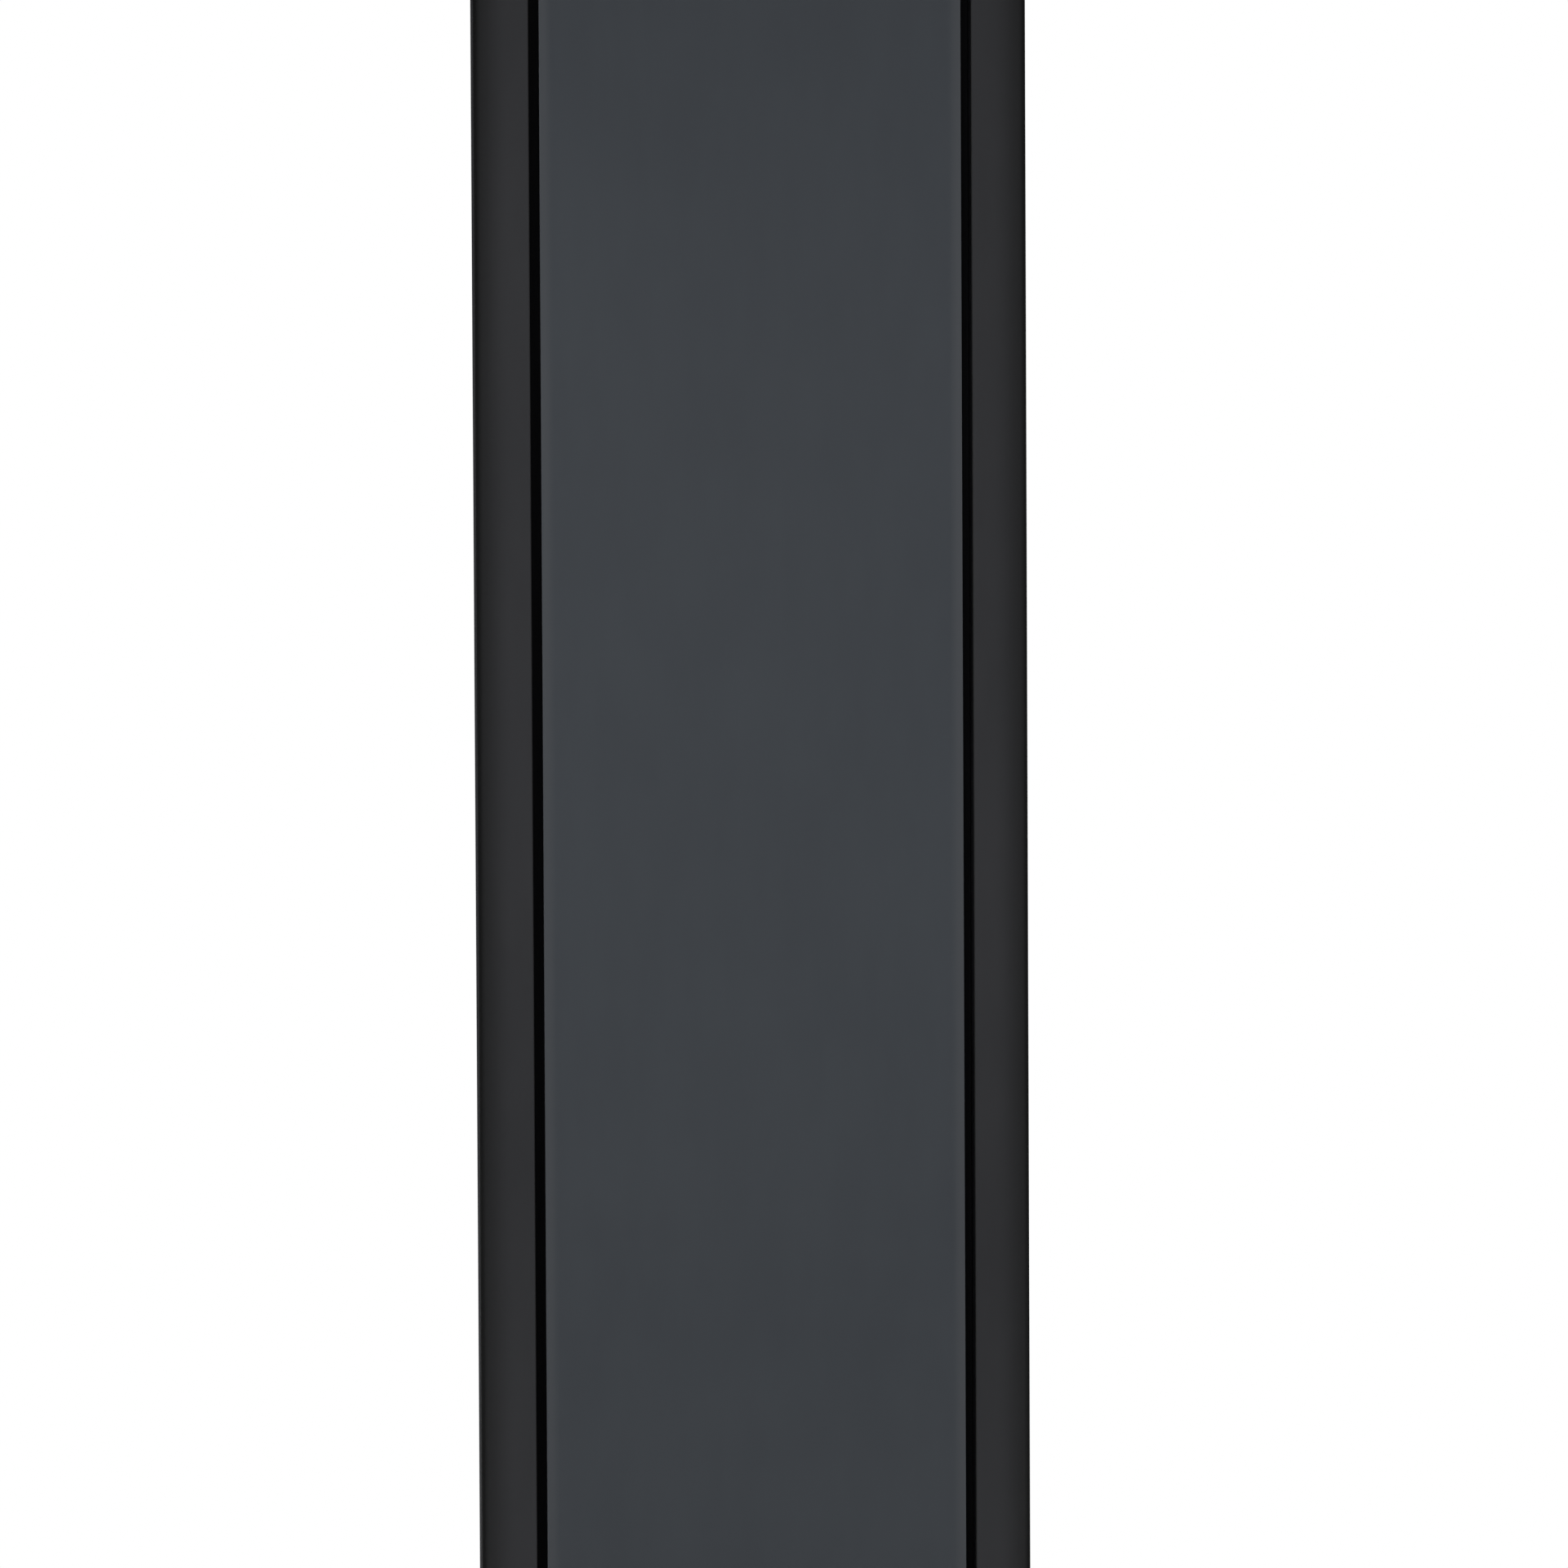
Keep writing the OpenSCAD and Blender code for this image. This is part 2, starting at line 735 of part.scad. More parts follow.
module going_barrel() barrel(going_at);
module strike_barrel() barrel(strike_at);

module great_wheel(at, teeth, turn) {
    color(brass) difference() {
        union() {
            in_plane(great_y, great_t) translate(at) crossed_wheel(teeth, great_m, turn, 6, 12);
            in_plane(great_y - 3, 3) translate(at) circle(11);
        }
        rod_y(at, great_y - 4, great_y + great_t + 1, winding_r + run);
    }
}

module going_great_wheel() great_wheel(going_at, great_teeth, 0);
module strike_great_wheel() great_wheel(strike_at, strike_teeth, 0);

module centre_wheel() {
    pinion_turn = mesh_turn(0, great_teeth, leaves, direction(going_at, centre_at));
    color(brass) {
        arbor(centre_at);
        rod_y(centre_at, hand_tip_y, inner_f + 1, 1.8);
        in_plane(pinion_back_y, pinion_back_t) gear(leaves, great_m, pinion_turn);
        in_plane(centre_y, centre_t) crossed_wheel(centre_teeth, centre_m);
        // cannon pinion, a friction fit on the arbor, drives the motion work and the minute hand
        difference() {
            union() {
                in_plane(plate_f - 7, 2) gear(cannon_teeth, motion_m);
                rod_y(centre_at, minute_hand_y - 0.2, plate_f - 5, cannon_r);
            }
            rod_y(centre_at, hand_tip_y, plate_f, 1.8 + run);
        }
    }
}

module third_wheel() {
    pinion_turn = mesh_turn(0, centre_teeth, leaves, direction(centre_at, third_at));
    color(brass) {
        arbor(third_at);
        in_plane(centre_y - 1, 4.5) translate(third_at) gear(leaves, centre_m, pinion_turn);
        in_plane(third_y, wheel_t) translate(third_at) crossed_wheel(third_teeth, third_m);
    }
}

module escape_tooth_ring() {
    pitch = 360 / escape_teeth;
    difference() {
        polygon([for (i = [0:escape_teeth - 1])
            each [polar(escape_r - 3.8, (i - 0.42) * pitch), polar(escape_r, (i - 0.05) * pitch),
                  polar(escape_r, (i + 0.03) * pitch), polar(escape_r - 3.8, (i + 0.1) * pitch)]]);
        difference() {
            circle(escape_r - 6);
            circle(5);
            for (i = [0:3]) rotate(i * 90) translate([0, -1]) square([escape_r, 2]);
        }
    }
}

module escape_wheel() {
    pinion_turn = mesh_turn(0, third_teeth, escape_leaves, direction(third_at, escape_at));
    color(brass) {
        arbor(escape_at, 1.6);
        rod_y(escape_at, second_hand_y, plate_f + 1, 0.8);
        in_plane(third_y - 2, 6) translate(escape_at) gear(escape_leaves, third_m, pinion_turn);
        in_plane(escape_y, escape_t) translate(escape_at) escape_tooth_ring();
    }
}

fork_z = -110;
crutch_y = 1;

module pallet_anchor() {
    arm = [[0, 4.5], [-11, 0.5], [-18, -8], [-16.7, -14.6], [-15.5, -13.4], [-14, -9],
           [-8, -4.2], [0, -3.5]];
    color(steel) {
        rod_y(anchor_at, inner_f + slack, 8, 2);
        rod_y(anchor_at, plate_f, inner_f + 1, pivot_pin_r);
        rod_y(anchor_at, 7, 12, pivot_pin_r);
        in_plane(escape_y - 1.5, 4.5) translate(anchor_at) {
            circle(5);
            both_sides() polygon(arm);
        }
        // crutch: a flat arm behind the back plate that ends in a fork round the pendulum rod
        in_plane(crutch_y, 2) translate(anchor_at) {
            circle(5);
            translate([-3, fork_z]) square([6, -fork_z]);
        }
        translate([0, 0, pendulum_z + fork_z]) {
            board([-7, crutch_y, -4], [7, pendulum_y - 7, 4]);
            both_sides() board([rod_r + 0.15, pendulum_y - 7.5, -4], [7, pendulum_y + 6, 4]);
        }
    }
}

shelf_z = 8;
shelf_t = 6;

module back_cock() {
    color(brass) {
        difference() {
            in_plane(9, 4) translate(anchor_at) {
                translate([-24, -11]) square([48, 25]);
            }
            rod_y(anchor_at, 5, 20, pivot_pin_r + run);
        }
        for (x = [-19, 19]) rod_y(anchor_at + [x, 0], plate_b + plate_t, 9, 4);
        translate([0, 0, pendulum_z]) difference() {
            board([-9, 13, shelf_z], [9, pendulum_y + 7, shelf_z + shelf_t]);
            board([-1, pendulum_y - 5.5, 0], [1, pendulum_y + 20, shelf_z + shelf_t + 1]);
        }
    }
}

module minute_wheel() {
    wheel_turn = mesh_turn(0, cannon_teeth, motion_teeth, direction(centre_at, minute_at));
    color(brass) difference() {
        union() {
            in_plane(plate_f - 7, 2) translate(minute_at)
                crossed_wheel(motion_teeth, motion_m, wheel_turn, 4, 7);
            in_plane(plate_f - 15, 8) translate(minute_at) gear(hour_leaves, hour_m, 0);
        }
        rod_y(minute_at, plate_f - 20, plate_f, 2 + run);
    }
}

module hour_wheel() {
    turn = mesh_turn(0, hour_leaves, hour_teeth, direction(minute_at, centre_at));
    color(brass) difference() {
        union() {
            in_plane(plate_f - 13, 2) crossed_wheel(hour_teeth, hour_m, turn, 5, 8);
            rod_y(centre_at, hour_hand_y - 0.2, plate_f - 11, hour_pipe_r);
        }
        rod_y(centre_at, hour_hand_y - 1, plate_f, cannon_r + run);
    }
}

module pin_wheel() {
    pinion_turn = mesh_turn(0, strike_teeth, leaves, direction(strike_at, pin_at));
    color(brass) {
        arbor(pin_at);
        in_plane(pinion_back_y + 0.8, pinion_back_t - 0.8) translate(pin_at)
            gear(leaves, great_m, pinion_turn);
        in_plane(pin_y, wheel_t) translate(pin_at) crossed_wheel(pin_teeth, pin_m);
        for (i = [0:7]) rod_y(pin_at + polar(pin_circle, i * 45), pin_y + wheel_t / 2, pin_y + 4, 1);
    }
}

module warning_wheel() {
    pinion_turn = mesh_turn(0, pin_teeth, leaves, direction(pin_at, warning_at));
    color(brass) {
        arbor(warning_at);
        in_plane(pin_y - 2.5, 6) translate(warning_at) gear(leaves, pin_m, pinion_turn);
        in_plane(escape_y, wheel_t) translate(warning_at) crossed_wheel(warning_teeth, warning_m);
    }
}

module fly() {
    pinion_turn = mesh_turn(0, warning_teeth, leaves, direction(warning_at, fly_at));
    color(brass) {
        arbor(fly_at, 1.6);
        in_plane(escape_y - 2, 6) translate(fly_at) gear(leaves, warning_m, pinion_turn);
        in_plane(-42, 18) translate(fly_at) square([33, 0.8], center = true);
        rod_y(fly_at, -43, -23, 2.4);
    }
}

bell_y = -33;

module hammer() {
    top = [-52, 110];
    tail = polar(14, direction(hammer_at, pin_at));
    color(steel) {
        arbor(hammer_at, 2);
        in_plane(-18.8, 1.6) translate(hammer_at) {
            circle(4);
            rotate(direction([0, 0], tail)) translate([0, -1.5]) square([14, 3]);
        }
        in_plane(-12, 3) {
            translate(hammer_at) circle(4);
            translate(hammer_at) rotate(direction(hammer_at, top))
                translate([0, -2]) square([norm(top - hammer_at), 4]);
        }
        rod_y(top, bell_y, -9, 2.5);
    }
    color(brass) translate([top[0] - 7, bell_y, dial_z + top[1]]) rotate([0, 90, 0])
        cylinder(h = 16, r = 6);
}

module bell() {
    rim_z = 104;
    rise = 34;
    r = 42;
    wall = 2.5;
    steps = 12;
    post_r = 3;
    crown_z = rim_z + rise;
    function shell(r, rise) = [
        for (i = [0:steps])
            let (a = 90 * i / steps)
            [max(r * cos(a), post_r - 0.5), rim_z + rise * sin(a)]
    ];
    color(steel) translate([0, bell_y, dial_z]) rotate_extrude($fn = 96)
        polygon(concat(shell(r, rise), backwards(shell(r - wall, rise - wall))));
    color(brass) translate([0, 0, dial_z]) {
        board([-6, plate_f, plate_z1], [6, plate_b + plate_t, plate_z1 + 4]);
        translate([0, bell_y, plate_z1 + 3]) cylinder(h = crown_z - plate_z1, r = post_r);
        translate([0, bell_y, crown_z - 1]) cylinder(h = 5, r = 6);
        translate([0, bell_y, crown_z - wall - 3]) cylinder(h = 4, r = 6);
    }
}

// ---- Pendulum ------------------------------------------------------------------------------

module pendulum_rod() {
    rod_z0 = bob_z - bob_r - 32;
    color(steel) translate([0, pendulum_y, 0]) {
        translate([-0.2, -4, pendulum_z - 14]) cube([0.4, 8, shelf_z + shelf_t + 16]);
        translate([-4, 0, pendulum_z + shelf_z + shelf_t + 1.4]) rotate([0, 90, 0])
            cylinder(h = 8, r = 1.2);
        translate([-5, -5, pendulum_z - 26]) cube([10, 10, 14]);
        translate([0, 0, rod_z0]) cylinder(h = pendulum_z - 20 - rod_z0, r = rod_r);
    }
}

module pendulum_bob() {
    far = bob_arc_r - bob_t / 2;
    color(brass) difference() {
        translate([0, pendulum_y, bob_z]) rotate([90, 0, 0]) rotate_extrude($fn = 128) intersection() {
            translate([0, -bob_t / 2]) square([bob_r, bob_t]);
            translate([0, far]) circle(bob_arc_r, $fn = 720);
            translate([0, -far]) circle(bob_arc_r, $fn = 720);
        }
        translate([0, pendulum_y, bob_z - bob_r - 1]) cylinder(h = 2 * bob_r + 2, r = rod_r + run);
    }
}

module rating_nut() {
    color(brass) translate([0, pendulum_y, bob_z - bob_r - 9]) difference() {
        union() {
            cylinder(h = 6, r = 10);
            cylinder(h = 8.7, r = 6);
        }
        translate([0, 0, -1]) cylinder(h = 12, r = rod_r + run);
    }
}

// ---- Weights, pulleys and lines ------------------------------------------------------------

module weight(x) {
    color(brass) {
        translate([x, line_y, weight_top_z - weight_len]) cylinder(h = weight_len, r = weight_r);
        translate([x, line_y, weight_top_z]) cylinder(h = 4, r = 9);
        translate([x, line_y, weight_top_z]) cylinder(h = 60 - stirrup_drop + 2, r = 2.5);
        for (s = [-1, 1]) translate([x - 6, line_y + s * (sheave_t / 2 + 1.5) - 1, pulley_z - stirrup_drop])
            cube([12, 2, stirrup_drop + 7]);
        translate([x - 6, line_y - sheave_t / 2 - 2.5, pulley_z - stirrup_drop])
            cube([12, sheave_t + 5, 4]);
        translate([x, line_y + sheave_t / 2 + 2, pulley_z]) rotate([90, 0, 0])
            cylinder(h = sheave_t + 4, r = 2);
    }
}

module going_weight() weight(weight_x);
module strike_weight() weight(-weight_x);

module pulley(x) {
    color(brass) translate([x, line_y, pulley_z]) rotate([90, 0, 0]) difference() {
        rotate_extrude($fn = 96) difference() {
            translate([2 + run, -sheave_t / 2]) square([sheave_rim - 2 - run, sheave_t]);
            translate([sheave_r + 1.5 + line_r, 0]) circle(r = 1.5 + line_r + slack, $fn = 48);
        }
        for (i = [0:4]) rotate(i * 72) translate([12, 0, -sheave_t]) cylinder(h = 2 * sheave_t, r = 4);
    }
}

module going_pulley() pulley(weight_x);
module strike_pulley() pulley(-weight_x);

// Gut line: off the barrel, under the pulley and up to the seatboard
module line(side) {
    strand = sheave_r + line_r;
    top = seat_z + seat_t;
    color(steel) translate([side * weight_x, line_y, pulley_z]) {
        translate([-side * strand, 0, 0])
            cylinder(h = dial_z - great_drop - pulley_z, r = line_r, $fn = 24);
        translate([side * strand, 0, 0]) cylinder(h = top - pulley_z, r = line_r, $fn = 24);
        rotate([90, 0, 0]) rotate([0, 0, 180]) rotate_extrude(angle = 180, $fn = 96)
            translate([strand, 0]) circle(line_r, $fn = 24);
    }
}

module going_line() line(1);
module strike_line() line(-1);

// ---- Assembly ------------------------------------------------------------------------------

glide_feet();
plinth();
base_carcass();
base_face_frame();
base_panel();
base_subpanel();
back_board();
waist_moulding();
trunk_sides();
trunk_stiles();
trunk_rails();
door_stops();
throat_moulding();
seatboard();
hood_sides();
hood_side_glass();
hood_face_frame();
cornice();
dial_mask();
trunk_door_panel();
trunk_door_pins();
hood_door_pins();
touch_latch_body();
touch_latch_plunger();
hood_door_frame();
hood_door_glass();
hood_door_knob();
dial_plate();
hour_markers();
hour_hand();
minute_hand();
second_hand();
movement_front_plate();
movement_back_plate();
plate_pillars();
going_barrel();
going_great_wheel();
centre_wheel();
third_wheel();
escape_wheel();
pallet_anchor();
back_cock();
minute_wheel();
hour_wheel();
pendulum_rod();
pendulum_bob();
rating_nut();
strike_barrel();
strike_great_wheel();
pin_wheel();
warning_wheel();
fly();
hammer();
bell();
going_weight();
going_pulley();
going_line();
strike_weight();
strike_pulley();
strike_line();
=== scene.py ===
"""The finish of a longcase clock with a dark flush trunk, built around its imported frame, in metres."""
import json
from math import cos, pi, radians, sin, sqrt, tau

import bmesh
import bpy
from mathutils import Matrix, Quaternion, Vector
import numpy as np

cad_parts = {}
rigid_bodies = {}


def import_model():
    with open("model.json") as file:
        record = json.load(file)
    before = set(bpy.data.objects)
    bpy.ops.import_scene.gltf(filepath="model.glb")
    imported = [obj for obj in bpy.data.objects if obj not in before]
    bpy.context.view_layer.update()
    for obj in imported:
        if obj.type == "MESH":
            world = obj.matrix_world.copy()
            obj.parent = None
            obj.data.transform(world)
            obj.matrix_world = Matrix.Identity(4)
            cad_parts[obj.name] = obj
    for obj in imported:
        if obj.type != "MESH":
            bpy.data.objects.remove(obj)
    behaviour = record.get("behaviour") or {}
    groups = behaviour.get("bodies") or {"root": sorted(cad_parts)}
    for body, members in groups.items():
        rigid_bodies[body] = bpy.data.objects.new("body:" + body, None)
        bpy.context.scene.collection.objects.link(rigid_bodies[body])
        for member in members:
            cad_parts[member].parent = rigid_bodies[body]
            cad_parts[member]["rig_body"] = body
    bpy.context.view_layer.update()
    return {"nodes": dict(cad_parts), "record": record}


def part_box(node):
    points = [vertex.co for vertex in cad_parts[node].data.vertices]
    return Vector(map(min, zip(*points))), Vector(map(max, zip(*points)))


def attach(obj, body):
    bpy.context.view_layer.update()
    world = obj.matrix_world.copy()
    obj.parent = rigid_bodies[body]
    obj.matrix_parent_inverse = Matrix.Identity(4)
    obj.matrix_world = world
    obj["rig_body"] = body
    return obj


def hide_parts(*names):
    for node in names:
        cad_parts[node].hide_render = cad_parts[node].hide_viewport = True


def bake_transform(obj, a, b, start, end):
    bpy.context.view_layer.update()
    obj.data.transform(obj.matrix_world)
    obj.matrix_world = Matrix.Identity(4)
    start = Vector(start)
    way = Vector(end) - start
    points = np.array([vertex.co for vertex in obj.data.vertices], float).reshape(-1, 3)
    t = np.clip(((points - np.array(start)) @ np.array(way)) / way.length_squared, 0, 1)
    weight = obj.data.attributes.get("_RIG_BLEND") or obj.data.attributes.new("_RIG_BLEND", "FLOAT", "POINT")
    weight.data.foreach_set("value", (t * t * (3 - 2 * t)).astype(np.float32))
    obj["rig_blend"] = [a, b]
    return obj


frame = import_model()
nodes = frame["nodes"]
SLOT_OF = {part["node"]: part["material_slot"] for part in frame["record"]["subparts"]}
MM = 0.001

# ---- Sizes, taken from the frame ------------------------------------------------------------

LEAST = 1e-6
STILE = 32 * MM
STILE_FALL = 2.5 * MM
BOARD = 16 * MM
BOARD_EASE = 0.9 * MM
SIDES = ((-1, "left"), (1, "right"))
BEHIND = Matrix.Rotation(pi, 4, "Z") @ Matrix.Rotation(pi / 2, 4, "X")

box_low, box_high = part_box("base_face_frame")
trunk_low, trunk_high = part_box("trunk_stiles")
hood_low, hood_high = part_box("hood_face_frame")
door_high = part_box("trunk_door_panel")[1]
hood_door_low, hood_door_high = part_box("hood_door_frame")
plinth_low, plinth_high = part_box("plinth")
cornice_low, cornice_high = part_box("cornice")
back_low, back_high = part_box("back_board")
dial_low, dial_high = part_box("dial_plate")
waist_low, waist_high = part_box("waist_moulding")
throat_low, throat_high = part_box("throat_moulding")
bob_low, bob_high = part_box("pendulum_bob")
front_plate_low, front_plate_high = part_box("movement_front_plate")
seat_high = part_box("seatboard")[1]

BOX_X = box_high.x
BOX_FRONT = box_low.y
BOX_INNER = box_high.y
TRUNK_X = trunk_high.x
TRUNK_FRONT = trunk_low.y
BACK_INNER = back_low.y
PLATE_FACE = front_plate_high.y - 3 * MM
PLATES_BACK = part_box("movement_back_plate")[1].y
DIAL_FACE = dial_low.y
DIAL_HALF = dial_high.x
dial_centre = Vector((0, DIAL_FACE, (dial_low.z + dial_high.z) / 2))
seconds_centre = dial_centre + Vector((0, 0, 40 * MM))


# ---- Camera, light and world ----------------------------------------------------------------

SENSOR_WIDTH = 36
LENS_LENGTH = 138.8
NEAREST, FARTHEST = 0.05, 60
CAMERA_SPOT = (-0.1805, TRUNK_FRONT - 3.5, 1.0909)
CAMERA_PAN, CAMERA_TILT, CAMERA_ROLL = radians(3.240), radians(1.766), radians(-0.269)
FLOOR_RADIUS, FADE_START, FADE_END = 2.6, 0.8, 2.5


def add_object(name, data):
    """A new object at the origin of the scene."""
    made = bpy.data.objects.new(name, data)
    bpy.context.scene.collection.objects.link(made)
    return made


def place_camera():
    """A long lens level with the middle of the trunk, a little to its left and turned a little."""
    lens = bpy.data.cameras.new("camera")
    lens.sensor_width = SENSOR_WIDTH
    lens.lens = LENS_LENGTH
    lens.clip_start = NEAREST
    lens.clip_end = FARTHEST
    camera = add_object("camera", lens)
    level = cos(CAMERA_TILT)
    ahead = Vector((sin(CAMERA_PAN) * level, cos(CAMERA_PAN) * level, -sin(CAMERA_TILT)))
    camera.location = CAMERA_SPOT
    camera.rotation_mode = "QUATERNION"
    camera.rotation_quaternion = ahead.to_track_quat("-Z", "Y") @ Quaternion((0, 0, 1), CAMERA_ROLL)
    bpy.context.scene.camera = camera


def add_soft_light(name, place, aim, size, power, glints=True):
    """A rectangular soft box that the camera doesn't see. One without glints isn't mirrored."""
    light = bpy.data.lights.new(name, "AREA")
    light.shape = "RECTANGLE"
    light.size, light.size_y = size
    light.energy = power
    made = add_object(name, light)
    made.location = place
    made.rotation_euler = (Vector(aim) - Vector(place)).to_track_quat("-Z", "Y").to_euler()
    made.visible_camera = False
    made.visible_glossy = glints


def light_studio():
    """A small fill in front, two soft boxes in front and two behind, one at the back, one above."""
    trunk, case = (0, 0, 1.1), (0, 0, 1.0)
    add_soft_light("front_fill", (-0.05, -1.35, 1.24), (-0.05, 0, 1.24), (0.6, 0.5), 9.5, False)
    add_soft_light("front_left_box", (-3.0, -1.7, 1.8), trunk, (1.2, 1.8), 24)
    add_soft_light("front_right_box", (3.0, -1.7, 1.6), trunk, (1.2, 1.8), 20)
    add_soft_light("top_box", (0, 0.9, 4.4), (0, 0.5, 0), (4.0, 4.0), 150)
    add_soft_light("left_box", (-2.7, 1.7, 1.7), case, (1.4, 2.0), 42, False)
    add_soft_light("right_box", (2.7, 1.7, 1.6), case, (1.4, 2.0), 34, False)
    add_soft_light("back_box", (0.6, 3.6, 1.9), case, (2.0, 2.0), 60, False)
    bpy.context.scene.view_settings.view_transform = "Standard"


def surround():
    """The world: white where the eye looks straight at it, and a soft gradient for all other light."""
    world = bpy.data.worlds.new("studio")
    world.use_nodes = True
    bpy.context.scene.world = world
    air = Nodes(world.node_tree)
    air.tree.nodes.clear()
    way = air.node("ShaderNodeTexCoord", {}, {}, "Generated")
    depth = air.along(way, "Y")
    height = air.along(way, "Z")
    dim, front_glow, top_glow = 0.03, 0.39, 0.5
    cool, white = (0.94, 0.97, 1.0, 1), (1, 1, 1, 1)
    front = air.limit(depth, -0.70, -1.0) * air.limit(height, -0.35, 0.12)
    above = air.limit(height, 0.35, 1.0)
    strength = dim + front * front_glow + above * top_glow
    felt = air.node("ShaderNodeBackground", {}, {"Color": cool, "Strength": strength})
    seen = air.node("ShaderNodeBackground", {}, {"Color": white})
    direct = air.node("ShaderNodeLightPath", {}, {}, "Is Camera Ray")
    choice = air.node("ShaderNodeMixShader", {}, {0: direct, 1: felt, 2: seen})
    air.node("ShaderNodeOutputWorld", {}, {"Surface": choice}, None)


# ---- Shaders --------------------------------------------------------------------------------

class Wire:
    """One shader socket that takes part in sums."""

    def __init__(self, shader, socket):
        self.shader = shader
        self.socket = socket

    def maths(self, operation, left, right):
        return self.shader.node("ShaderNodeMath", {"operation": operation}, {0: left, 1: right})

    def __add__(self, other):
        return self.maths("ADD", self, other)

    def __radd__(self, other):
        return self.maths("ADD", other, self)

    def __sub__(self, other):
        return self.maths("SUBTRACT", self, other)

    def __rsub__(self, other):
        return self.maths("SUBTRACT", other, self)

    def __mul__(self, other):
        return self.maths("MULTIPLY", self, other)

    def __rmul__(self, other):
        return self.maths("MULTIPLY", other, self)


class Nodes:
    """A node tree whose nodes are added one expression at a time."""

    def __init__(self, tree):
        self.tree = tree

    def node(self, kind, settings, inputs, output=0):
        """Adds a node: its settings first, then the values or wires of its sockets."""
        made = self.tree.nodes.new(kind)
        for setting, value in settings.items():
            setattr(made, setting, value)
        for socket, value in inputs.items():
            self.feed(made.inputs[socket], value)
        return None if output is None else Wire(self, made.outputs[output])

    def feed(self, socket, value):
        if isinstance(value, Wire):
            self.tree.links.new(value.socket, socket)
        else:
            socket.default_value = value

    def limit(self, value, low, high, new_low=0.0, new_high=1.0):
        """Spreads low to high over new_low to new_high, softly and without going past them."""
        settings = {"interpolation_type": "SMOOTHSTEP", "clamp": True}
        values = {0: value, 1: low, 2: high, 3: new_low, 4: new_high}
        return self.node("ShaderNodeMapRange", settings, values)

    def along(self, where, axis):
        """One coordinate of a place or direction."""
        return self.node("ShaderNodeSeparateXYZ", {}, {"Vector": where}, axis)

    def length(self, where):
        """How far a place is from zero."""
        return self.node("ShaderNodeVectorMath", {"operation": "LENGTH"}, {0: where}, "Value")


class Shader(Nodes):
    """A finish: a surface and the nodes that feed it."""

    def __init__(self, name):
        self.material = bpy.data.materials.new(name)
        self.material.use_nodes = True
        super().__init__(self.material.node_tree)
        self.surface = self.tree.nodes["Principled BSDF"]

    def set(self, **sockets):
        """Sets the surface's sockets, named with underscores for spaces."""
        for name, value in sockets.items():
            self.feed(self.surface.inputs[name.replace("_", " ")], value)

    def place(self, centre=(0, 0, 0), stretch=(1, 1, 1), turn=(0, 0, 0)):
        """Object coordinates, moved so that centre is at zero, then turned and stretched."""
        coordinates = self.node("ShaderNodeTexCoord", {}, {}, "Object")
        moved = self.node("ShaderNodeVectorMath", {"operation": "SUBTRACT"}, {0: coordinates, 1: centre})
        return self.node("ShaderNodeMapping", {}, {"Vector": moved, "Rotation": turn, "Scale": stretch})

    def noise(self, where, size, detail=2.0, rough=0.5):
        """Soft noise whose lumps are about size across, from 0 to 1."""
        values = {"Vector": where, "Scale": 1 / size, "Detail": detail, "Roughness": rough}
        return self.node("ShaderNodeTexNoise", {}, values)

    def patches(self, where, size, detail, low=0.3, high=0.7, rough=0.5):
        """Noise between low and high, spread from 0 to 1."""
        return self.limit(self.noise(where, size, detail, rough), low, high)

    def blend(self, share, first, second):
        """Mixes two colours."""
        values = {0: share, 6: colour(first), 7: colour(second)}
        return self.node("ShaderNodeMix", {"data_type": "RGBA"}, values, 2)

    def bump(self, height, deep, strength):
        """A normal from a height, deep metres at most."""
        values = {"Height": height, "Distance": deep, "Strength": strength}
        return self.node("ShaderNodeBump", {}, values)

    def wear_and_highlight(self):
        """1 on the eased edges and 0 elsewhere."""
        return self.node("ShaderNodeAttribute", {"attribute_name": "wear_and_highlight"}, {}, "Fac")


def colour(value):
    """A wire as it is, or three numbers as an opaque colour."""
    return value if isinstance(value, Wire) else (*value, 1.0)


